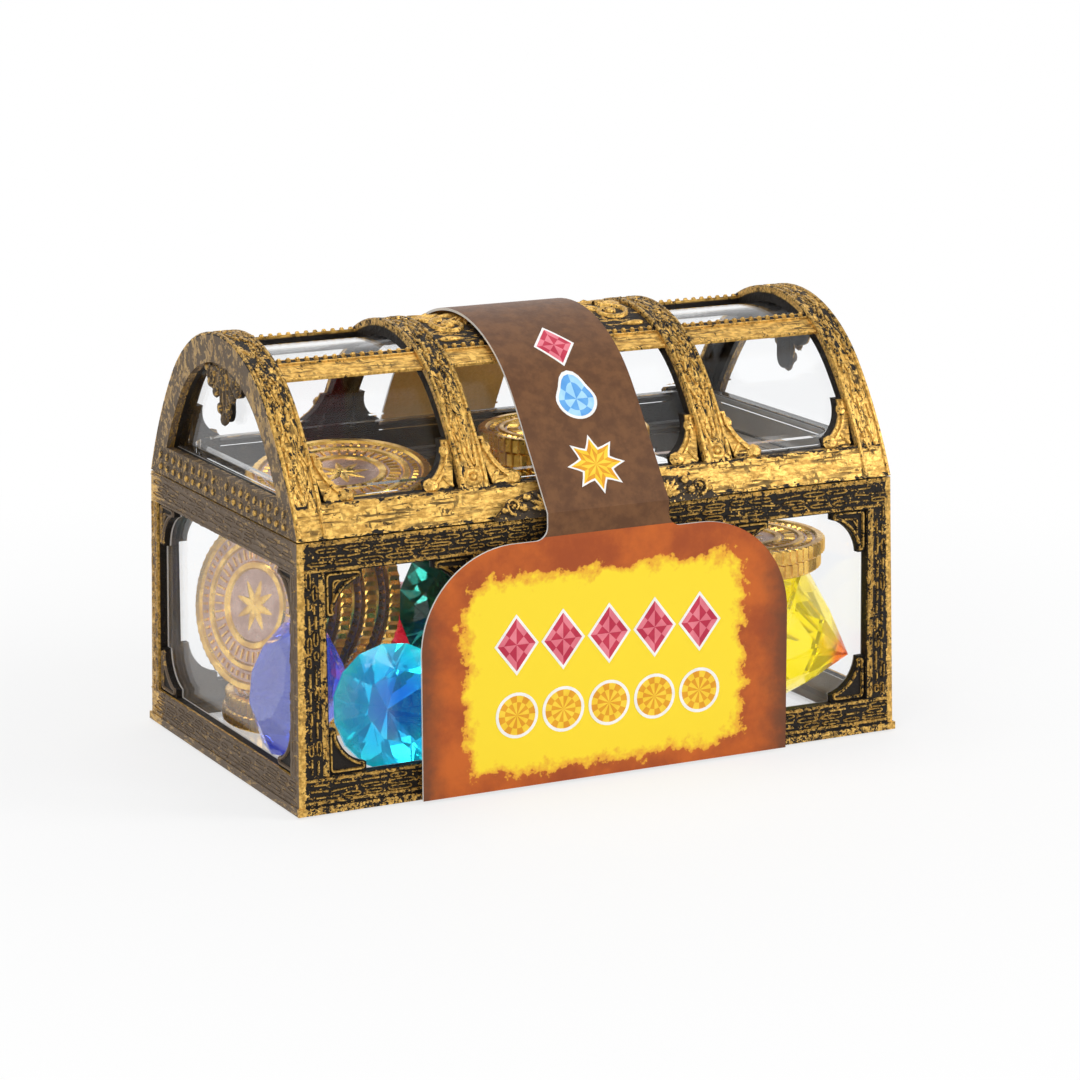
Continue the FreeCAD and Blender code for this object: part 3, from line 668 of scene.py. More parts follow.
def end_relief_gilding():
    """The ornament of the ends: a bronze ground of painted reflection, thin gold of painted shade, and more gold on
    the lid's beads and the base's back posts.
    """
    material, tree, shader = new_material("end_relief_gilding")
    place = millimetres(tree)
    x, y, z = split(place)
    on_lid = z > lid_rim
    tips = ramp(abs(x) - lid_half_x, 0.12, 0.5) * on_lid
    back_post = near_back(y) * (1.0 - on_lid)
    # Painted reflection in the bronze grounds, painted shade in the wash
    gild(tree, shader, 0.2, Sheet=place, Ground=blend(on_lid, end_sheen_bronze, bead_sheen_bronze), Scratch=0.2, Reach=1.0,
         Cover=on_lid * 0.2 + tips * 0.3 + back_post * 0.36 + 0.21, Wash=0.4 - tips * 0.3)
    return material


def lock_gilding():
    """The lock's shell: dark bronze with gold on its high spots."""
    material, tree, shader = new_material("lock_gilding")
    place = millimetres(tree)
    proud = use_group(tree, under_roof, {"Place": place})["Depth"] * -1.0
    tips = ramp(proud, lock_thickness + 0.3, lock_thickness + 0.8)
    gild(tree, shader, 0.2, Sheet=place, Ground=lock_bronze, Cover=tips * 0.45 + 0.30, Scratch=0.2, Reach=1.0,
         Wash=0.1)
    return material


# Clear plastic, metal and card
def see_through(tree, shader, tint):
    """Lets light for shadows and soft light pass straight through a clear piece."""
    passing = tree.nodes.new("ShaderNodeBsdfTransparent")
    fill(passing, {"Color": tint})
    show(tree, "Material Output", rays(tree, "Is Shadow Ray", "Is Diffuse Ray"), shader, passing)


def clear_plastic(name, ior):
    """Clear moulded plastic with faint handling marks."""
    material, tree, shader = new_material(name)
    marks = noise(stretched(millimetres(tree), (0.4, 0.4, 0.15)), 0.5, 5.0, 0.6)
    fill(shader, {"Base Color": (0.985, 0.99, 0.995, 1), "Transmission Weight": 1.0, "IOR": ior,
                  "Roughness": ramp(marks, 0.45, 0.75, 0.015, 0.07)})
    see_through(tree, shader, (0.95, 0.955, 0.96, 1))
    return material


def gem_plastic(name, colour, shadow, body, painted_glow, heart, heart_colour, reach):
    """Clear coloured plastic with a share of cloudy body and a painted glow, and another colour at its heart."""
    material, tree, shader = new_material(name)
    place = millimetres(tree)
    paler = tuple(0.85 * part + 0.15 for part in colour[:3]) + (1,)
    tone = blend(ramp(noise(place, 0.12, 3.0, 0.5), 0.5, 0.75, 0.0, 0.5), colour, paler)
    away = vector_calc("DISTANCE", place, {1: heart}, "Value")
    tone = blend(ramp(away, 0.5 * reach, reach, 0.95, 0.0), tone, heart_colour)
    # Painted glow: the gem gives off its own colour as light
    fill(shader, {"Base Color": tone, "Emission Color": tone, "Emission Strength": painted_glow,
                  "Transmission Weight": 1 - body, "IOR": 1.46, "Roughness": 0.015})
    see_through(tree, shader, shadow)
    return material


def gem_heart(name):
    """The middle of a gem."""
    low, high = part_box(name)
    return (low + high) / 2 / mm


def gem_point(name):
    """The point of a cut gem that lies on its side, pointing to the right."""
    return max((vert.co / mm for vert in nodes[name].data.vertices), key=lambda corner: corner.x)


def coin_plating(name, dull, bright, metal):
    """Gold plating, rubbed brighter in places."""
    material, tree, shader = new_material(name)
    rubbed = noise(millimetres(tree), 0.35, 5.0, 0.6)
    fill(shader, {"Base Color": blend(ramp(rubbed, 0.36, 0.64), dull, bright), "Metallic": metal,
                  "Roughness": ramp(rubbed, 0.3, 0.7, 0.38, 0.22)})
    return material


def pin_steel():
    """Drawn steel wire with fine lengthwise lines."""
    material, tree, shader = new_material("pin_steel")
    lines = noise(stretched(millimetres(tree), (0.1, 6.0, 6.0)), 1.0, 2.0, 0.5)
    fill(shader, {"Base Color": blend(lines, (0.42, 0.42, 0.44, 1), (0.62, 0.62, 0.64, 1)), "Metallic": 1.0,
                  "Roughness": 0.3})
    return material


# The card's print: its colours, and where the panel and the ragged yellow field on it lie
rust_deep = (0.34, 0.066, 0.014, 1)
rust_bright = (0.56, 0.125, 0.018, 1)
rim_brown = (0.15, 0.050, 0.020, 1)
strap_deep = (0.105, 0.042, 0.015, 1)
strap_bright = (0.165, 0.070, 0.025, 1)
field_amber = (0.80, 0.36, 0.03, 1)
field_yellow = (0.94, 0.70, 0.03, 1)
board_deep = (0.80, 0.47, 0.15, 1)
board_bright = (0.88, 0.55, 0.20, 1)
cut_white = (0.82, 0.80, 0.76, 1)
panel_depth = 0.6
panel_top = 48.6
field_off = -0.6
field_z = 22.3
field_half_x = 30.4
field_half_z = 19.6
field_corner = 9.0
field_ragged = 11.0
roof_middle = 40.0


def printed_card():
    """Card: a mottled print outside with a ragged bright field, tan board inside and white cut edges."""
    material, tree, shader = new_material("printed_card")
    place = millimetres(tree)
    x, y, z = split(place)
    n_x, n_y, n_z = split(coordinates(tree, "Normal"))
    panel = (y < card_low.y + panel_depth) * (z < panel_top)

    mottle = noise(place, 0.35, 4.0, 0.6)
    across = abs(x - (card_middle + field_off))
    up = abs(z - field_z)
    inside = calc("SMOOTH_MIN", field_half_x - across, field_half_z - up, field_corner)
    inside = inside + (noise(place, 0.22, 4.0, 0.65) - 0.5) * field_ragged
    rim = ramp((card_high.x - card_low.x) / 2 - across + mottle * 6.0, 2.0, 10.0)
    border = blend(rim, rim_brown, patches(place, 0.07, 6.0, 0.62, rust_deep, rust_bright, 0.36, 0.66))
    strap = blend(ramp(mottle, 0.35, 0.7), strap_deep, strap_bright)
    bright = blend(ramp(inside, 0.0, 2.6), field_amber, field_yellow)
    printed = blend(ramp(inside, -0.3, 0.5) * panel, blend(panel, strap, border), bright)

    out = n_y * y + n_z * (z - roof_middle)
    turned_out = largest(panel * (n_y < -0.5), (1.0 - panel) * (out > 8.0))
    fibre = noise(place, 1.6, 4.0, 0.7)
    board = blend(ramp(fibre, 0.35, 0.65), board_deep, board_bright)
    cut = largest(abs(n_x) > 0.5, panel * (abs(n_y) < 0.5))
    fill(shader, {"Base Color": blend(cut, blend(turned_out, board, printed), cut_white),
                  "Roughness": ramp(fibre, 0.2, 0.8, 0.40, 0.52), "Specular IOR Level": 0.25})
    bump(shader, fibre, 0.02)
    return material


def plain_ink(name, first, second):
    """Printed ink with a slight unevenness."""
    material, tree, shader = new_material(name)
    fill(shader, {"Base Color": patches(millimetres(tree), 0.3, 3.0, 0.5, first, second), "Roughness": 0.45,
                  "Specular IOR Level": 0.25})
    return material


# Finishes of the frame's own nodes
def dress(name, material):
    """Gives a node of the frame its finish."""
    slots = nodes[name].data.materials
    slots.clear()
    slots.append(material)


relief_finish = relief_gilding("relief_gilding", cover=0.70, wash=0.0)
dash_finish = relief_gilding("dash_gilding", cover=0.57, wash=0.2)
bark_finish = bark_gilding()
end_finish = end_relief_gilding()
lock_finish = lock_gilding()
coin_finish = coin_plating("coin_plating", dull=(0.62, 0.33, 0.055, 1), bright=(0.92, 0.58, 0.13, 1), metal=1.0)
# Painted reflection: the sunk fields' mauve-brown stands for the surroundings mirrored in the gold
field_reflection_finish = coin_plating("coin_field", dull=(0.44, 0.25, 0.18, 1), bright=(0.62, 0.39, 0.30, 1), metal=0.45)
steel_finish = pin_steel()
node_finishes = {
    "base_frame": base_gilding(),
    "lid_frame": lid_gilding(),
    "lock_plate": lock_finish,
    "lock_boss": lock_finish,
    "base_tray": clear_plastic("tray_plastic", ior=1.24),
    "lid_dome": clear_plastic("dome_plastic", ior=1.22),
    "hinge_pin_left": steel_finish,
    "hinge_pin_right": steel_finish,
    "card_sleeve": printed_card(),
}
for node_name, node_finish in node_finishes.items():
    dress(node_name, node_finish)

gem_looks = {
    "blue_gem": dict(colour=(0.08, 0.16, 0.95, 1), shadow=(0.25, 0.35, 0.95, 1), body=0.25, painted_glow=0.08,
                     heart=gem_heart("blue_gem"), heart_colour=(0.04, 0.08, 0.75, 1), reach=11.0),
    "cyan_gem": dict(colour=(0.02, 0.80, 0.80, 1), shadow=(0.2, 0.8, 0.9, 1), body=0.10, painted_glow=0.15,
                     heart=gem_heart("cyan_gem"), heart_colour=(0.02, 0.15, 0.82, 1), reach=12.5),
    "red_gem": dict(colour=(0.70, 0.02, 0.05, 1), shadow=(0.85, 0.2, 0.25, 1), body=0.12, painted_glow=0.05,
                    heart=gem_heart("red_gem"), heart_colour=(0.50, 0.01, 0.05, 1), reach=9.0),
    "green_gem": dict(colour=(0.03, 0.32, 0.25, 1), shadow=(0.2, 0.6, 0.45, 1), body=0.09, painted_glow=0.01,
                      heart=gem_heart("green_gem"), heart_colour=(0.01, 0.16, 0.10, 1), reach=10.0),
    # The yellow gem's red point is a painted reflection
    "yellow_gem": dict(colour=(0.98, 0.80, 0.005, 1), shadow=(0.95, 0.85, 0.3, 1), body=0.15, painted_glow=0.14,
                       heart=gem_point("yellow_gem"), heart_colour=(0.80, 0.03, 0.01, 1), reach=6.4),
}
for gem_name, looks in gem_looks.items():
    dress(gem_name, gem_plastic(gem_name, **looks))

# Carving on the base's four walls
dash_length = 4.6
dash_width = 1.05
dash_line = 0.3
dash_rise = 0.25
dash_gap = 0.7
row_step = 1.2
stroke_length = 2.9
stroke_width = 0.45
stroke_gap = 0.6
cartouche_line = 0.32
strip_width = 1.5
strip_rise = 0.16
rail_strip = 0.7
mullion_strip = 0.9
splinter_step = 1.6


def rough(value, share=0.12):
    """A hand-carved size: never quite the same twice."""
    return value * random.uniform(1 - share, 1 + share)


def add_strip(bm, u, v, length, width, turn):
    """A rough gold strip along an edge."""
    add_bar(bm, u, v, length, width, strip_rise, turn)
    for k in range(int(length / splinter_step)):
        way = (k + random.random()) * splinter_step - length / 2
        off = random.uniform(-0.3, 0.3) * width
        splinter_u = u + way * math.cos(turn) - off * math.sin(turn)
        splinter_v = v + way * math.sin(turn) + off * math.cos(turn)
        add_bar(bm, splinter_u, splinter_v, length=rough(2.0, 0.5), width=rough(0.4, 0.4), rise=rough(0.26, 0.3),
                turn=turn + random.uniform(-0.15, 0.15))


def add_rail(bm, half, low, high):
    """Staggered rows of long thin ovals and strokes along a rail, between two rough strips."""
    oval_share = 0.62
    for row in (-row_step, 0.0, row_step):
        v = (low + high) / 2 + row
        u = -half + random.uniform(0.3, 4.0)
        while u < half - 3:
            length = min(rough(dash_length, 0.3), half - u)
            if random.random() < oval_share:
                add_cartouche(bm, u + length / 2, v, length, rough(dash_width), dash_line, dash_rise)
            else:
                add_bar(bm, u + length / 2, v, length, rough(0.4, 0.3), dash_rise, random.uniform(-0.1, 0.1))
            u += length + rough(dash_gap, 0.6)
    for side, edge in ((1, low), (-1, high)):
        add_strip(bm, 0, edge + side * 0.45, 2 * half, rail_strip, 0.0)


def add_post(bm, inner, outer, low, high, columns):
    """Upright strokes in columns beside the rough strip along a window."""
    oval_share = 0.35
    side = math.copysign(1, outer)
    width = abs(outer - inner)
    add_strip(bm, inner + side * strip_width / 2, (low + high) / 2, high - low, strip_width, math.pi / 2)
    for column in columns:
        v = low + random.uniform(0.2, 2.0)
        while v < high - 2.4:
            length = rough(stroke_length, 0.4)
            u = inner + side * width * column + random.uniform(-0.15, 0.15)
            if random.random() < oval_share:
                add_cartouche(bm, u, v + length / 2, length, 1.15, cartouche_line, dash_rise, math.pi / 2)
            else:
                add_bar(bm, u, v + length / 2, length, rough(stroke_width, 0.3), dash_rise, math.pi / 2)
            v += length + rough(stroke_gap, 0.6)


def add_mullion(bm, u, low, high):
    """A column of ovals between two rough strips."""
    for side in (-1, 1):
        add_strip(bm, u + side * 1.6, (low + high) / 2, high - low, mullion_strip, math.pi / 2)
    v = low + 1.5
    while v < high - 2:
        length = rough(2.8, 0.35)
        add_cartouche(bm, u, v + length / 2, length, 1.2, cartouche_line, dash_rise, math.pi / 2)
        v += length + stroke_gap


def add_gusset(bm, u, v, side_u, side_v):
    """The raised outline of a gusset, with a finer line inside it at the top."""
    outlines = [(0.6, 0.6, 0.5), (1.9, 0.34, 0.3)] if side_v > 0 else [(0.6, 0.6, 0.5)]
    for inset, width, rise in outlines:
        far = gusset_run - inset
        high = gusset_rise - inset
        curve = corner_curve(gusset_run, gusset_rise, gusset_tip, inset)
        hollow = [p for p in curve if 0.3 - far < p[0] < -inset and inset < p[1] < high - 0.3]
        points = [(-inset, inset), (-far, inset), (-far, gusset_tip)] + hollow
        points += [(-gusset_tip, high), (-inset, high)]
        placed = [(u + side_u * a, v - side_v * b) for a, b in rounded(points, 0.7)]
        add_ridge(bm, placed, width, rise, -gusset_recess)


def carve_wall(turn, half, distance, post, columns, windows, finish):
    """One wall of the base: rails, posts and mullions, and the gussets of its windows."""
    bm = bmesh.new()
    top_low = base_height - top_rail
    add_rail(bm, half - 1.4, foot_lip + 1.5, bottom_rail)
    if turn != 180:
        add_rail(bm, half - 2.2, top_low, base_height)
    for side in (-1, 1):
        add_post(bm, side * (half - post), side * (half - 0.3), bottom_rail, top_low, columns)
    for left, right in windows:
        for u, side_u in ((left, -1), (right, 1)):
            for v, side_v in ((bottom_rail, -1), (top_low, 1)):
                add_gusset(bm, u, v, side_u, side_v)
    for window, after in zip(windows, windows[1:]):
        add_mullion(bm, (window[1] + after[0]) / 2, bottom_rail, top_low)
    wall = face_matrix(turn, distance, math.atan2(wall_draft, base_height))
    bmesh.ops.transform(bm, matrix=wall, verts=bm.verts)
    make_piece(bm, "base_carving_%d" % turn, "base", [finish], smooth=False)


mullion_in = rib_centre - mullion_width / 2
mullion_out = rib_centre + mullion_width / 2
front_edge = base_half_x - front_post
side_edge = base_half_y - side_post
front_windows = [(-front_edge, -mullion_out), (-mullion_in, mullion_in), (mullion_out, front_edge)]
for wall_turn in (0, 180):
    carve_wall(wall_turn, base_half_x, base_half_y, front_post, columns=(0.37, 0.58), windows=front_windows,
               finish=dash_finish)
for wall_turn in (90, 270):
    carve_wall(wall_turn, base_half_y, base_half_x, side_post, columns=(0.56,), windows=[(-side_edge, side_edge)],
               finish=end_finish)

# Carving on the lid
bead_pitch = 3.5
tooth_pitch = 1.9
tooth_width = 0.95
# Along from a bracket's corner, down from its sill, length and width
bracket_lobes = ((-5.6, 1.5, 3.4, 3.0), (-1.3, 8.0, 2.2, 2.6))
# Along from the middle, down from the root, length, width and, for a leaf, turn
crest_leaves = ((2.4, 0.4, 6.0, 1.7, -0.15), (2.6, 3.2, 4.0, 1.5, -0.9))
crest_lobes = ((8.2, 0.8, 2.8, 2.2), (6.6, 3.6, 2.4, 2.4), (4.0, 5.2, 2.6, 2.4), (2.0, 8.0, 2.0, 2.6))
# Along from the middle, up from the foot, length and width
lock_lobes = ((18.0, 1.1, 2.2, 1.9), (17.0, 3.0, 2.4, 1.9), (22.0, 0.9, 2.0, 1.4))


def add_bark(bm, middle, half, way, count):
    """Short rough ridges along a band over the roof, as in carved bark."""
    for k in range(count):
        u = random.uniform(middle - half, middle + half)
        v = -way + 2 * way * (k + random.random()) / count
        add_bar(bm, u, v, length=rough(2.3, 0.45), width=rough(0.75, 0.3), rise=rough(0.26, 0.4),
                turn=math.pi / 2 + random.uniform(-0.35, 0.35))


def add_band_ridge(bm, u, way):
    """A plain ridge right over the roof."""
    steps = 36
    points = [(u, -way + 2 * way * k / steps) for k in range(steps + 1)]
    add_ridge(bm, points, width=0.85, rise=0.34)


def carve_ribs():
    """The ribs and end arches: bark between two ridges, and a rosette with leaves at each foot of a rib."""
    bm = bmesh.new()
    for side in (-1, 1):
        rib = side * rib_centre
        arch = side * (lid_half_x - end_arch_width / 2)
        for shift in (-1, 1):
            add_band_ridge(bm, rib + shift * (rib_width / 2 - 0.5), sill_way - 1)
            add_band_ridge(bm, arch + shift * (end_arch_width / 2 - 0.5), rim_way - 0.6)
        add_bark(bm, rib, 1.7, sill_way - 4, 110)
        add_bark(bm, arch, 1.8, sill_way, 120)
        for end in (-1, 1):
            way = end * (sill_way - 2.2)
            add_cartouche(bm, rib, way, length=3.6, width=3.6, line=1.1, rise=0.35)
            add_bead(bm, rib, way, length=1.5, width=1.5, rise=0.4)
            for spread in (-0.5, -0.17, 0.17, 0.5):
                add_leaf(bm, rib + 2.6 * spread, way - end * 3.0, length=6.5, width=1.0, rise=0.42,
                         turn=-end * math.pi / 2 + 0.2 * spread * end)
    make_roof_piece(bm, "lid_rib_carving", bark_finish, smooth=False)


def add_foot_bracket(bm, u, side, end):
    """The contour line of a foot bracket, the lobes at its foot and top, and a leaf beside it."""
    curve = corner_curve(bracket_run, bracket_way, bracket_tip, 0.75)
    kept = [p for p in curve if p[0] < -0.5 and p[1] > 0.3]
    points = [(u + side * a, end * (sill_way - b)) for a, b in kept]
    add_ridge(bm, points, width=0.8, rise=0.5, level=-bracket_recess)
    for run, rise, length, width in bracket_lobes:
        add_bead(bm, u + side * run, end * (sill_way - rise), length, width, rise=0.6, level=-bracket_recess)
    leaf_turn = -2.2 if side > 0 else -0.94
    add_leaf(bm, u - side * 1.0, end * (sill_way - 0.8), length=4.6, width=1.3, rise=0.45, turn=end * leaf_turn,
             level=-bracket_recess)


def carve_brackets():
    """The edges of the lid's windows: foot brackets, a row of teeth and plain bars."""
    bm = bmesh.new()
    rib_in = rib_centre - rib_width / 2
    rib_out = rib_centre + rib_width / 2
    arch_in = lid_half_x - end_arch_width
    for left, right in ((-arch_in, -rib_out), (-rib_in, rib_in), (rib_out, arch_in)):
        span = right - left
        count = int(span / tooth_pitch)
        for end in (-1, 1):
            add_foot_bracket(bm, left, -1, end)
            add_foot_bracket(bm, right, 1, end)
            for k in range(count):
                add_bar(bm, left + (k + 0.5) * span / count, end * (top_window_way + 0.8), tooth_width, tooth_width,
                        rise=0.55, level=-shell_inset)
            for way, width, rise in ((top_window_way + 1.9, 0.5, 0.3), (window_top_way - 0.6, 0.8, 0.35)):
                add_bar(bm, (left + right) / 2, end * way, span, width, rise, level=-shell_inset)
    make_roof_piece(bm, "lid_bracket_carving", relief_finish, smooth=False)


def carve_top_panel():
    """The flower, leaves and scrolls of the panel between the ribs."""
    bm = bmesh.new()
    level = -shell_inset
    for k in range(8):
        add_leaf(bm, 0, 0, length=5.2, width=2.2, rise=0.8, turn=k * math.pi / 4, level=level)
    add_bead(bm, 0, 0, length=2.6, width=2.6, rise=0.9, level=level)
    for side in (-1, 1):
        inwards = mirrored(math.pi, side)
        for end in (-1, 1):
            add_scroll(bm, side * 17.6, end * 5.6, radius=4.2, turns=1.4, width=1.1, rise=0.85, hand=side * end,
                       start=-end * math.pi / 2, level=level)
            add_scroll(bm, side * 9.2, end * 8.2, radius=3.0, turns=1.2, width=0.9, rise=0.8, hand=-side * end,
                       start=end * math.pi / 2, level=level)
            for k in range(4):
                turn = mirrored(end * (0.35 + 0.42 * k), side)
                add_leaf(bm, side * 12.2, end * 1.2, length=6.0 - 0.6 * k, width=1.7, rise=0.85, turn=turn,
                         level=level)
            add_leaf(bm, side * 22.4, end * 11.6, length=5.5, width=2.0, rise=0.8, turn=inwards, level=level)
        for k in range(-2, 3):
            add_leaf(bm, side * 22.6, 0, length=5.0, width=1.6, rise=0.9, turn=k * 0.42 + inwards, level=level)
    make_roof_piece(bm, "lid_panel_carving", relief_finish)


def carve_end(turn):
    """One end of the lid: two rows of beads, and the leaves, scrolls and lobes of its crest."""
    bm = bmesh.new()
    level = -crest_setback
    for k in range(-9, 10):
        if k != 0:
            add_bead(bm, k * bead_pitch, lid_rim + 4.1, length=2.3, width=1.2, rise=0.5, turn=1.05)
            add_bead(bm, k * bead_pitch, lid_rim + 1.7, length=1.5, width=1.5, rise=0.6)
    root = lid_top - end_ring - 1.0
    for k in range(-1, 2):
        add_leaf(bm, 1.2 * k, root, length=9.4 - 1.6 * abs(k), width=1.5, rise=0.6, turn=-math.pi / 2 + 0.1 * k,
                 level=level)
    for side in (-1, 1):
        add_scroll(bm, side * 5.8, root - 2.2, radius=2.2, turns=1.3, width=0.9, rise=0.55, hand=-side,
                   start=math.pi / 2, level=level)
        for u, down, length, width, turn_out in crest_leaves:
            add_leaf(bm, side * u, root - down, length, width, rise=0.5, turn=mirrored(turn_out, side), level=level)
        for u, down, length, width in crest_lobes:
            add_bead(bm, side * u, root - down, length, width, rise=0.7, level=level)
    add_bead(bm, 0, root - 10.0, length=2.6, width=2.6, rise=0.8, level=level)
    bmesh.ops.transform(bm, matrix=face_matrix(turn, lid_half_x, 0.0), verts=bm.verts)
    make_piece(bm, "lid_end_carving_%d" % turn, "lid", [end_finish])


def carve_lock():
    """The shell of the lock plate: a fan of leaves, lobes and a scroll on each side."""
    bm = bmesh.new()
    foot = 0.4 - rim_way
    for side in (-1, 1):
        add_scroll(bm, side * 20.0, foot + 1.6, radius=1.7, turns=1.3, width=0.8, rise=0.8, hand=side,
                   start=-math.pi / 2, level=lock_thickness)
        for k in range(6):
            turn = 0.12 + 0.3 * k
            length = min(6.2, 3.9 / math.sin(turn))
            add_leaf(bm, side * 11.6, foot + 0.3, length, width=1.8, rise=1.0, turn=mirrored(turn, side),
                     level=lock_thickness)
        for u, up, length, width in lock_lobes:
            add_bead(bm, side * u, foot + up, length, width, rise=0.8, level=lock_thickness)
        add_leaf(bm, side * 8.0, foot + 1.4, length=4.2, width=1.8, rise=0.9, turn=mirrored(0.0, side),
                 level=lock_thickness)
    make_roof_piece(bm, "lock_carving", lock_finish)


carve_ribs()
carve_brackets()
carve_top_panel()
for end_turn in (90, 270):
    carve_end(end_turn)
carve_lock()

# Coins. The rings are (radius, depth under the rim), and the bars (count, radius, length, width)
coin_rings = [(0, 0.45), (7.2, 0.45), (7.5, 0.12), (8.6, 0.12), (8.9, 0.5), (11.9, 0.5), (12.2, 0.1), (13.1, 0.1),
              (13.4, 0.5), (15.5, 0.5), (15.9, 0.0), (17.0, 0.0), (17.35, 0.3)]
coin_bars = ((40, 10.4, 2.3, 0.6), (56, 14.45, 1.2, 0.75))
coin_reeds = 60
reed_start = 17.2
reed_top = coin_radius - 0.02
reed_hollow = coin_radius - 0.42
coin_field_depth = 0.4
coin_field_radius = 16.0


def coin_face():
    """The raised ornament of one face of a coin: a star and two rings of bars."""
    bm = bmesh.new()
    level = coin_thickness / 2 - 0.5
    for k in range(8):
        add_leaf(bm, 0, 0, length=5.6, width=2.2, rise=0.36, turn=k * math.pi / 4, level=level)
    for count, radius, length, width in coin_bars:
        for k in range(count):
            turn = 2 * math.pi * k / count
            add_bar(bm, radius * math.cos(turn), radius * math.sin(turn), length, width, rise=0.34, turn=turn,
                    level=level)
    return mesh_of(bm, "coin_face")


def add_copy(bm, mesh, place):
    """Adds a copy of a mesh at a place."""
    first = len(bm.verts)
    bm.from_mesh(mesh)
    bm.verts.ensure_lookup_table()
    bmesh.ops.transform(bm, matrix=place, verts=bm.verts[first:])


def coin_shape():
    """A play coin with a milled edge and raised rings; the sunk fields have the second finish."""
    half = coin_thickness / 2
    bm = bmesh.new()
    profile = [(radius, half - depth) for radius, depth in coin_rings]
    outline = profile + [(radius, -z) for radius, z in reversed(profile)]
    verts = [bm.verts.new((radius, 0, z)) for radius, z in outline]
    edges = [bm.edges.new(pair) for pair in zip(verts, verts[1:])]
    bmesh.ops.spin(bm, geom=verts + edges, cent=(0, 0, 0), axis=(0, 0, 1), angle=2 * math.pi,
                   steps=2 * coin_reeds, use_merge=True)
    bmesh.ops.remove_doubles(bm, verts=bm.verts, dist=0.001)
    for vert in bm.verts:
        reach = math.hypot(vert.co.x, vert.co.y)
        if reach > reed_start:
            tooth = round(math.atan2(vert.co.y, vert.co.x) * coin_reeds / math.pi) % 2
            factor = (reed_top if tooth else reed_hollow) / reach
            vert.co.x *= factor
            vert.co.y *= factor
    bmesh.ops.recalc_face_normals(bm, faces=bm.faces)
    for face in bm.faces:
        middle = face.calc_center_median()
        if abs(middle.z) < half - coin_field_depth and middle.xy.length < coin_field_radius:
            face.material_index = 1
    ornament = coin_face()
    for turn in (0, math.pi):
        add_copy(bm, ornament, Matrix.Rotation(turn, 4, "X"))
    return mesh_of(bm, "coin_shape")


def coin_places(name):
    """Where each coin of a node lies: its middle and its axis, read from the node's own mesh."""
    mesh = nodes[name].data
    axis = max(mesh.polygons, key=lambda face: face.area).normal.copy()
    across = axis.orthogonal().normalized()
    other = axis.cross(across)
    levels = {}
    for vert in mesh.vertices:
        levels.setdefault(round(vert.co.dot(axis) / mm, 1), []).append(vert.co / mm)
    heights = sorted(levels)
    places = []
    for low, high in zip(heights[::2], heights[1::2]):
        a = [point.dot(across) for point in levels[low]]
        b = [point.dot(other) for point in levels[low]]
        middle = across * (min(a) + max(a)) / 2 + other * (min(b) + max(b)) / 2 + axis * (low + high) / 2
        turn = Matrix((across, other, axis)).transposed().to_4x4()
        places.append(Matrix.Translation(middle) @ turn)
    return places


minted = coin_shape()
coin_nodes = [name for name in nodes if "coin" in name]
for coin_name in coin_nodes:
    coin_mesh = bmesh.new()
    for coin_place in coin_places(coin_name):
        add_copy(coin_mesh, minted, coin_place @ Matrix.Rotation(random.uniform(0, math.pi), 4, "Z"))
    coin_piece = make_piece(coin_mesh, coin_name + "_minted", "base", [coin_finish, field_reflection_finish],
                            smooth=False)
    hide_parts(coin_name)

# Print on the card
white_ink = plain_ink("white_ink", (0.86, 0.84, 0.80, 1), (0.92, 0.90, 0.87, 1))
crimson_inks = [plain_ink("crimson_ink", (0.46, 0.025, 0.06, 1), (0.56, 0.04, 0.08, 1)),
                plain_ink("rose_ink", (0.70, 0.16, 0.21, 1), (0.78, 0.22, 0.27, 1))]
gold_inks = [plain_ink("amber_ink", (0.72, 0.30, 0.015, 1), (0.80, 0.37, 0.02, 1)),
             plain_ink("gold_ink", (0.88, 0.56, 0.03, 1), (0.93, 0.64, 0.05, 1))]
blue_inks = [plain_ink("azure_ink", (0.10, 0.33, 0.72, 1), (0.14, 0.40, 0.78, 1)),
             plain_ink("sky_ink", (0.33, 0.62, 0.90, 1), (0.42, 0.70, 0.93, 1))]
ink_rise = 0.06
ink_thickness = 0.03
white_line = 0.8
facet_ring = 0.5
row_pitch = 9.9
lozenge_row = 28.4
disc_row = 14.6
star_height = 59.5
drop_height = 71.0
crest_height = 79.8


# Outlines of the printed figures: how far they reach at an angle, as a share of their size
def lozenge(angle):
    return 1 / (abs(math.cos(angle)) / 0.78 + abs(math.sin(angle)))


def disc(angle):
    return 1.0


def star(angle):
    return 1.0 - 0.42 * abs(math.sin(4 * angle))


def drop(angle):
    lift = max(0.0, math.sin(angle))
    return 0.72 + 0.45 * lift ** 6 - 0.10 * lift


def card_tree():
    """The card's faces, for laying print on them."""
    bm = bmesh.new()
    bm.from_mesh(nodes["card_sleeve"].data)
    tree = BVHTree.FromBMesh(bm)
    bm.free()
    return tree


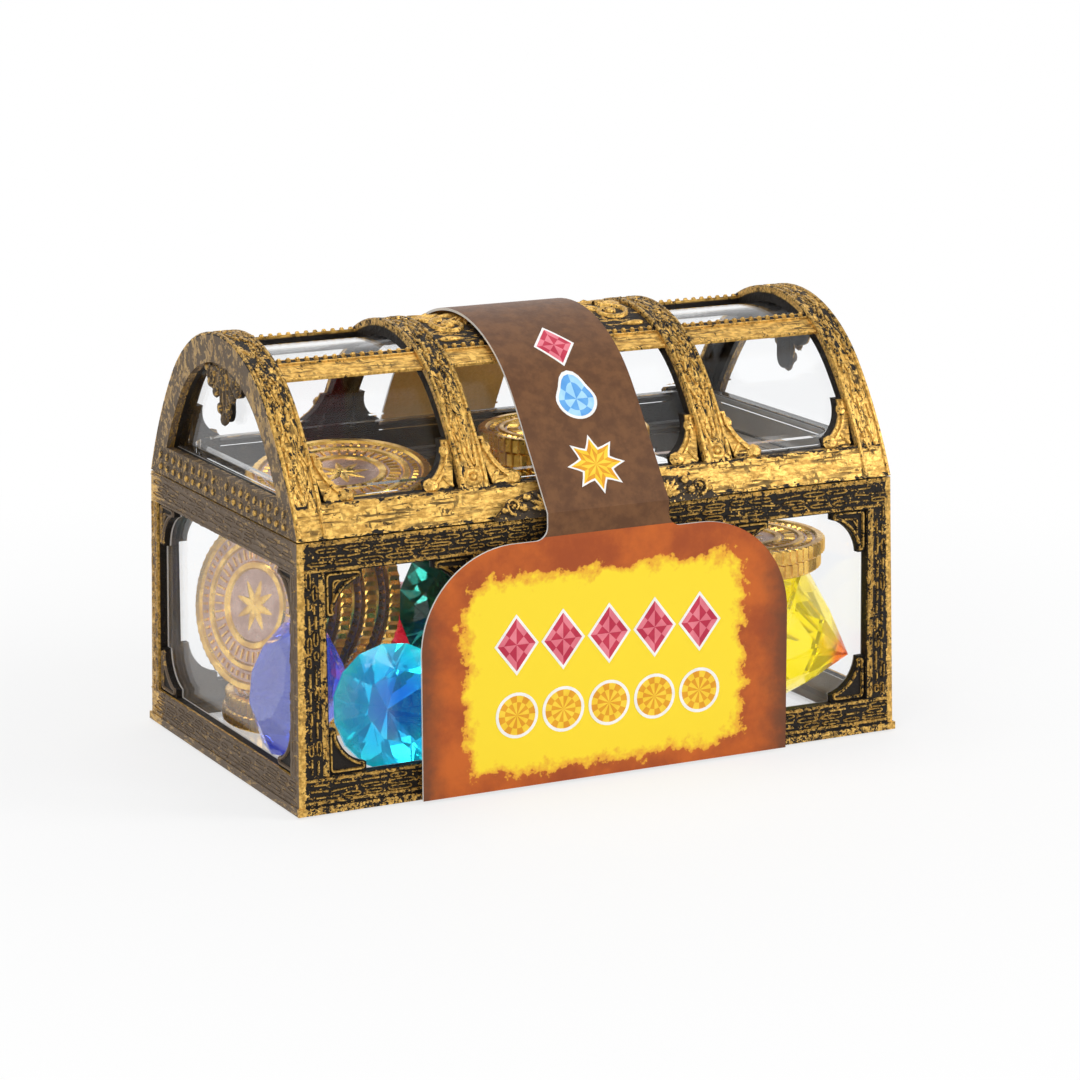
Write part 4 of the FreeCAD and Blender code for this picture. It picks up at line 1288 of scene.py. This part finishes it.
def add_figure(bm, outline, size, place, facets):
    """A printed figure: a fan of facets inside a white line, cast on to the card along its own -Z."""
    verts = bmesh.ops.create_circle(bm, cap_ends=True, segments=32, radius=1.0)["verts"]
    middle_face = verts[0].link_faces[0]
    for _ in range(3):
        bmesh.ops.inset_individual(bm, faces=[middle_face], thickness=0.25)
    bmesh.ops.poke(bm, faces=[middle_face])
    for face in bm.faces:
        middle = face.calc_center_median()
        sector = math.floor(math.atan2(middle.y, middle.x) / (2 * math.pi) * facets)
        inner = middle.length < facet_ring
        face.material_index = 0 if middle.length > white_line else 1 + (sector + inner) % 2
    for vert in bm.verts:
        reach = vert.co.length
        if reach > 0.01:
            share = 1.0 if reach > 0.9 else reach * 1.15
            vert.co *= share * outline(math.atan2(vert.co.y, vert.co.x)) * size / reach
    down = -(place.to_3x3() @ Vector((0, 0, 1)))
    for vert in bm.verts:
        hit = card.ray_cast((place @ vert.co) * mm, down)[0]
        vert.co = hit / mm - down * ink_rise
    bmesh.ops.recalc_face_normals(bm, faces=bm.faces[:])


def strap_spot(z):
    """A place over the strap's front at a height, facing out of the roof."""
    way = -roof_way(z)
    foot = roof_place((card_middle, way, 0.0))
    above = roof_place((card_middle, way, 9.0))
    out = (above - foot).normalized()
    across = Vector((1, 0, 0))
    turn = Matrix((across, out.cross(across), out)).transposed().to_4x4()
    return Matrix.Translation(above) @ turn


def panel_row(z):
    """Five places side by side in front of the card's panel."""
    upright = Matrix.Rotation(math.pi / 2, 4, "X")
    return [Matrix.Translation((card_middle + k * row_pitch, card_low.y - 5, z)) @ upright for k in range(-2, 3)]


def print_figures(name, outline, places, inks, size, facets):
    """One piece of print: figures of one outline and one pair of inks."""
    bm = bmesh.new()
    for place in places:
        figure = bmesh.new()
        add_figure(figure, outline, size, place, facets)
        bmesh.ops.solidify(figure, geom=figure.faces[:], thickness=ink_thickness)
        bm.from_mesh(mesh_of(figure, "figure"))
    make_piece(bm, name, "sleeve", [white_ink, *inks], smooth=False)


card = card_tree()
print_figures("print_lozenges", lozenge, panel_row(lozenge_row), crimson_inks, size=6.0, facets=8)
print_figures("print_discs", disc, panel_row(disc_row), gold_inks, size=4.5, facets=16)
print_figures("print_star", star, [strap_spot(star_height)], gold_inks, size=6.2, facets=16)
print_figures("print_drop", drop, [strap_spot(drop_height)], blue_inks, size=6.0, facets=8)
print_figures("print_crest", lozenge, [strap_spot(crest_height)], crimson_inks, size=5.6, facets=8)

# Studio
plain_white = (1, 1, 1, 1)
floor_drop = 0.0004
camera_aim = Vector((0.00475, 0.0, 0.03766))
camera_azimuth = math.radians(-26.771)
camera_elevation = math.radians(12.940)
camera_roll = math.radians(-0.243)
camera_distance = 0.7252
lamp_aim = Vector((0, 0, 0.04))


def seen(tree):
    """1 for rays that show the surroundings themselves: to the camera, mirrored or through clear pieces."""
    return rays(tree, "Is Camera Ray", "Is Glossy Ray", "Is Transmission Ray")


def pale_floor():
    """White to the eye and in reflections, fading to plain white away from the object's shadow."""
    material, tree, shader = new_material("pale_floor")
    fill(shader, {"Base Color": (0.86, 0.86, 0.86, 1), "Roughness": 0.7})
    x, y = split(millimetres(tree))[:2]
    share = ramp(length_of(x, y), 60.0, 260.0, 0.72, 1.0)
    glow = tree.nodes.new("ShaderNodeEmission")
    fill(glow, {"Color": plain_white})
    show(tree, "Material Output", seen(tree) * share, shader, glow)
    return material


def make_floor():
    """A wide floor that takes the object's shadow."""
    bm = bmesh.new()
    bmesh.ops.create_grid(bm, x_segments=1, y_segments=1, size=6.0)
    mesh = mesh_of(bm, "floor")
    mesh.materials.append(pale_floor())
    floor = add_object("floor", mesh)
    floor.location.z = -floor_drop


def make_world():
    """Soft light from all round, plain white where it is seen."""
    world = bpy.data.worlds.new("studio")
    bpy.context.scene.world = world
    world.use_nodes = True
    tree = world.node_tree
    lit = tree.nodes["Background"]
    fill(lit, {"Color": (0.97, 0.985, 1.0, 1), "Strength": 0.42})
    white = tree.nodes.new("ShaderNodeBackground")
    fill(white, {"Color": plain_white, "Strength": 1.0})
    show(tree, "World Output", seen(tree), lit, white)


def make_lamp(name, place, size, watts):
    """A round soft lamp, aimed at the object."""
    light = bpy.data.lights.new(name, "AREA")
    light.shape = "DISK"
    light.size = size
    light.energy = watts
    lamp = add_object(name, light)
    lamp.location = place
    lamp.rotation_euler = (lamp_aim - Vector(place)).to_track_quat("-Z", "Y").to_euler()


def make_camera():
    """The camera, where it stood for the photograph."""
    camera = bpy.data.cameras.new("camera")
    camera.lens = 120
    camera.sensor_width = 36
    level = math.cos(camera_elevation)
    away = Vector((math.sin(camera_azimuth) * level, -math.cos(camera_azimuth) * level,
                   math.sin(camera_elevation)))
    turn = (-away).to_track_quat("-Z", "Y").to_matrix().to_4x4() @ Matrix.Rotation(camera_roll, 4, "Z")
    viewer = add_object("camera", camera)
    viewer.matrix_world = Matrix.Translation(camera_aim + away * camera_distance) @ turn
    bpy.context.scene.camera = viewer


make_floor()
make_world()
make_lamp("key_lamp", (0.95, -0.68, 0.55), size=0.55, watts=8.0)
make_lamp("top_lamp", (-0.05, 0.15, 1.0), size=0.7, watts=3.5)
make_lamp("left_lamp", (-0.85, -0.75, 0.45), size=0.6, watts=3.6)
make_camera()
bpy.context.scene.view_settings.view_transform = "Standard"
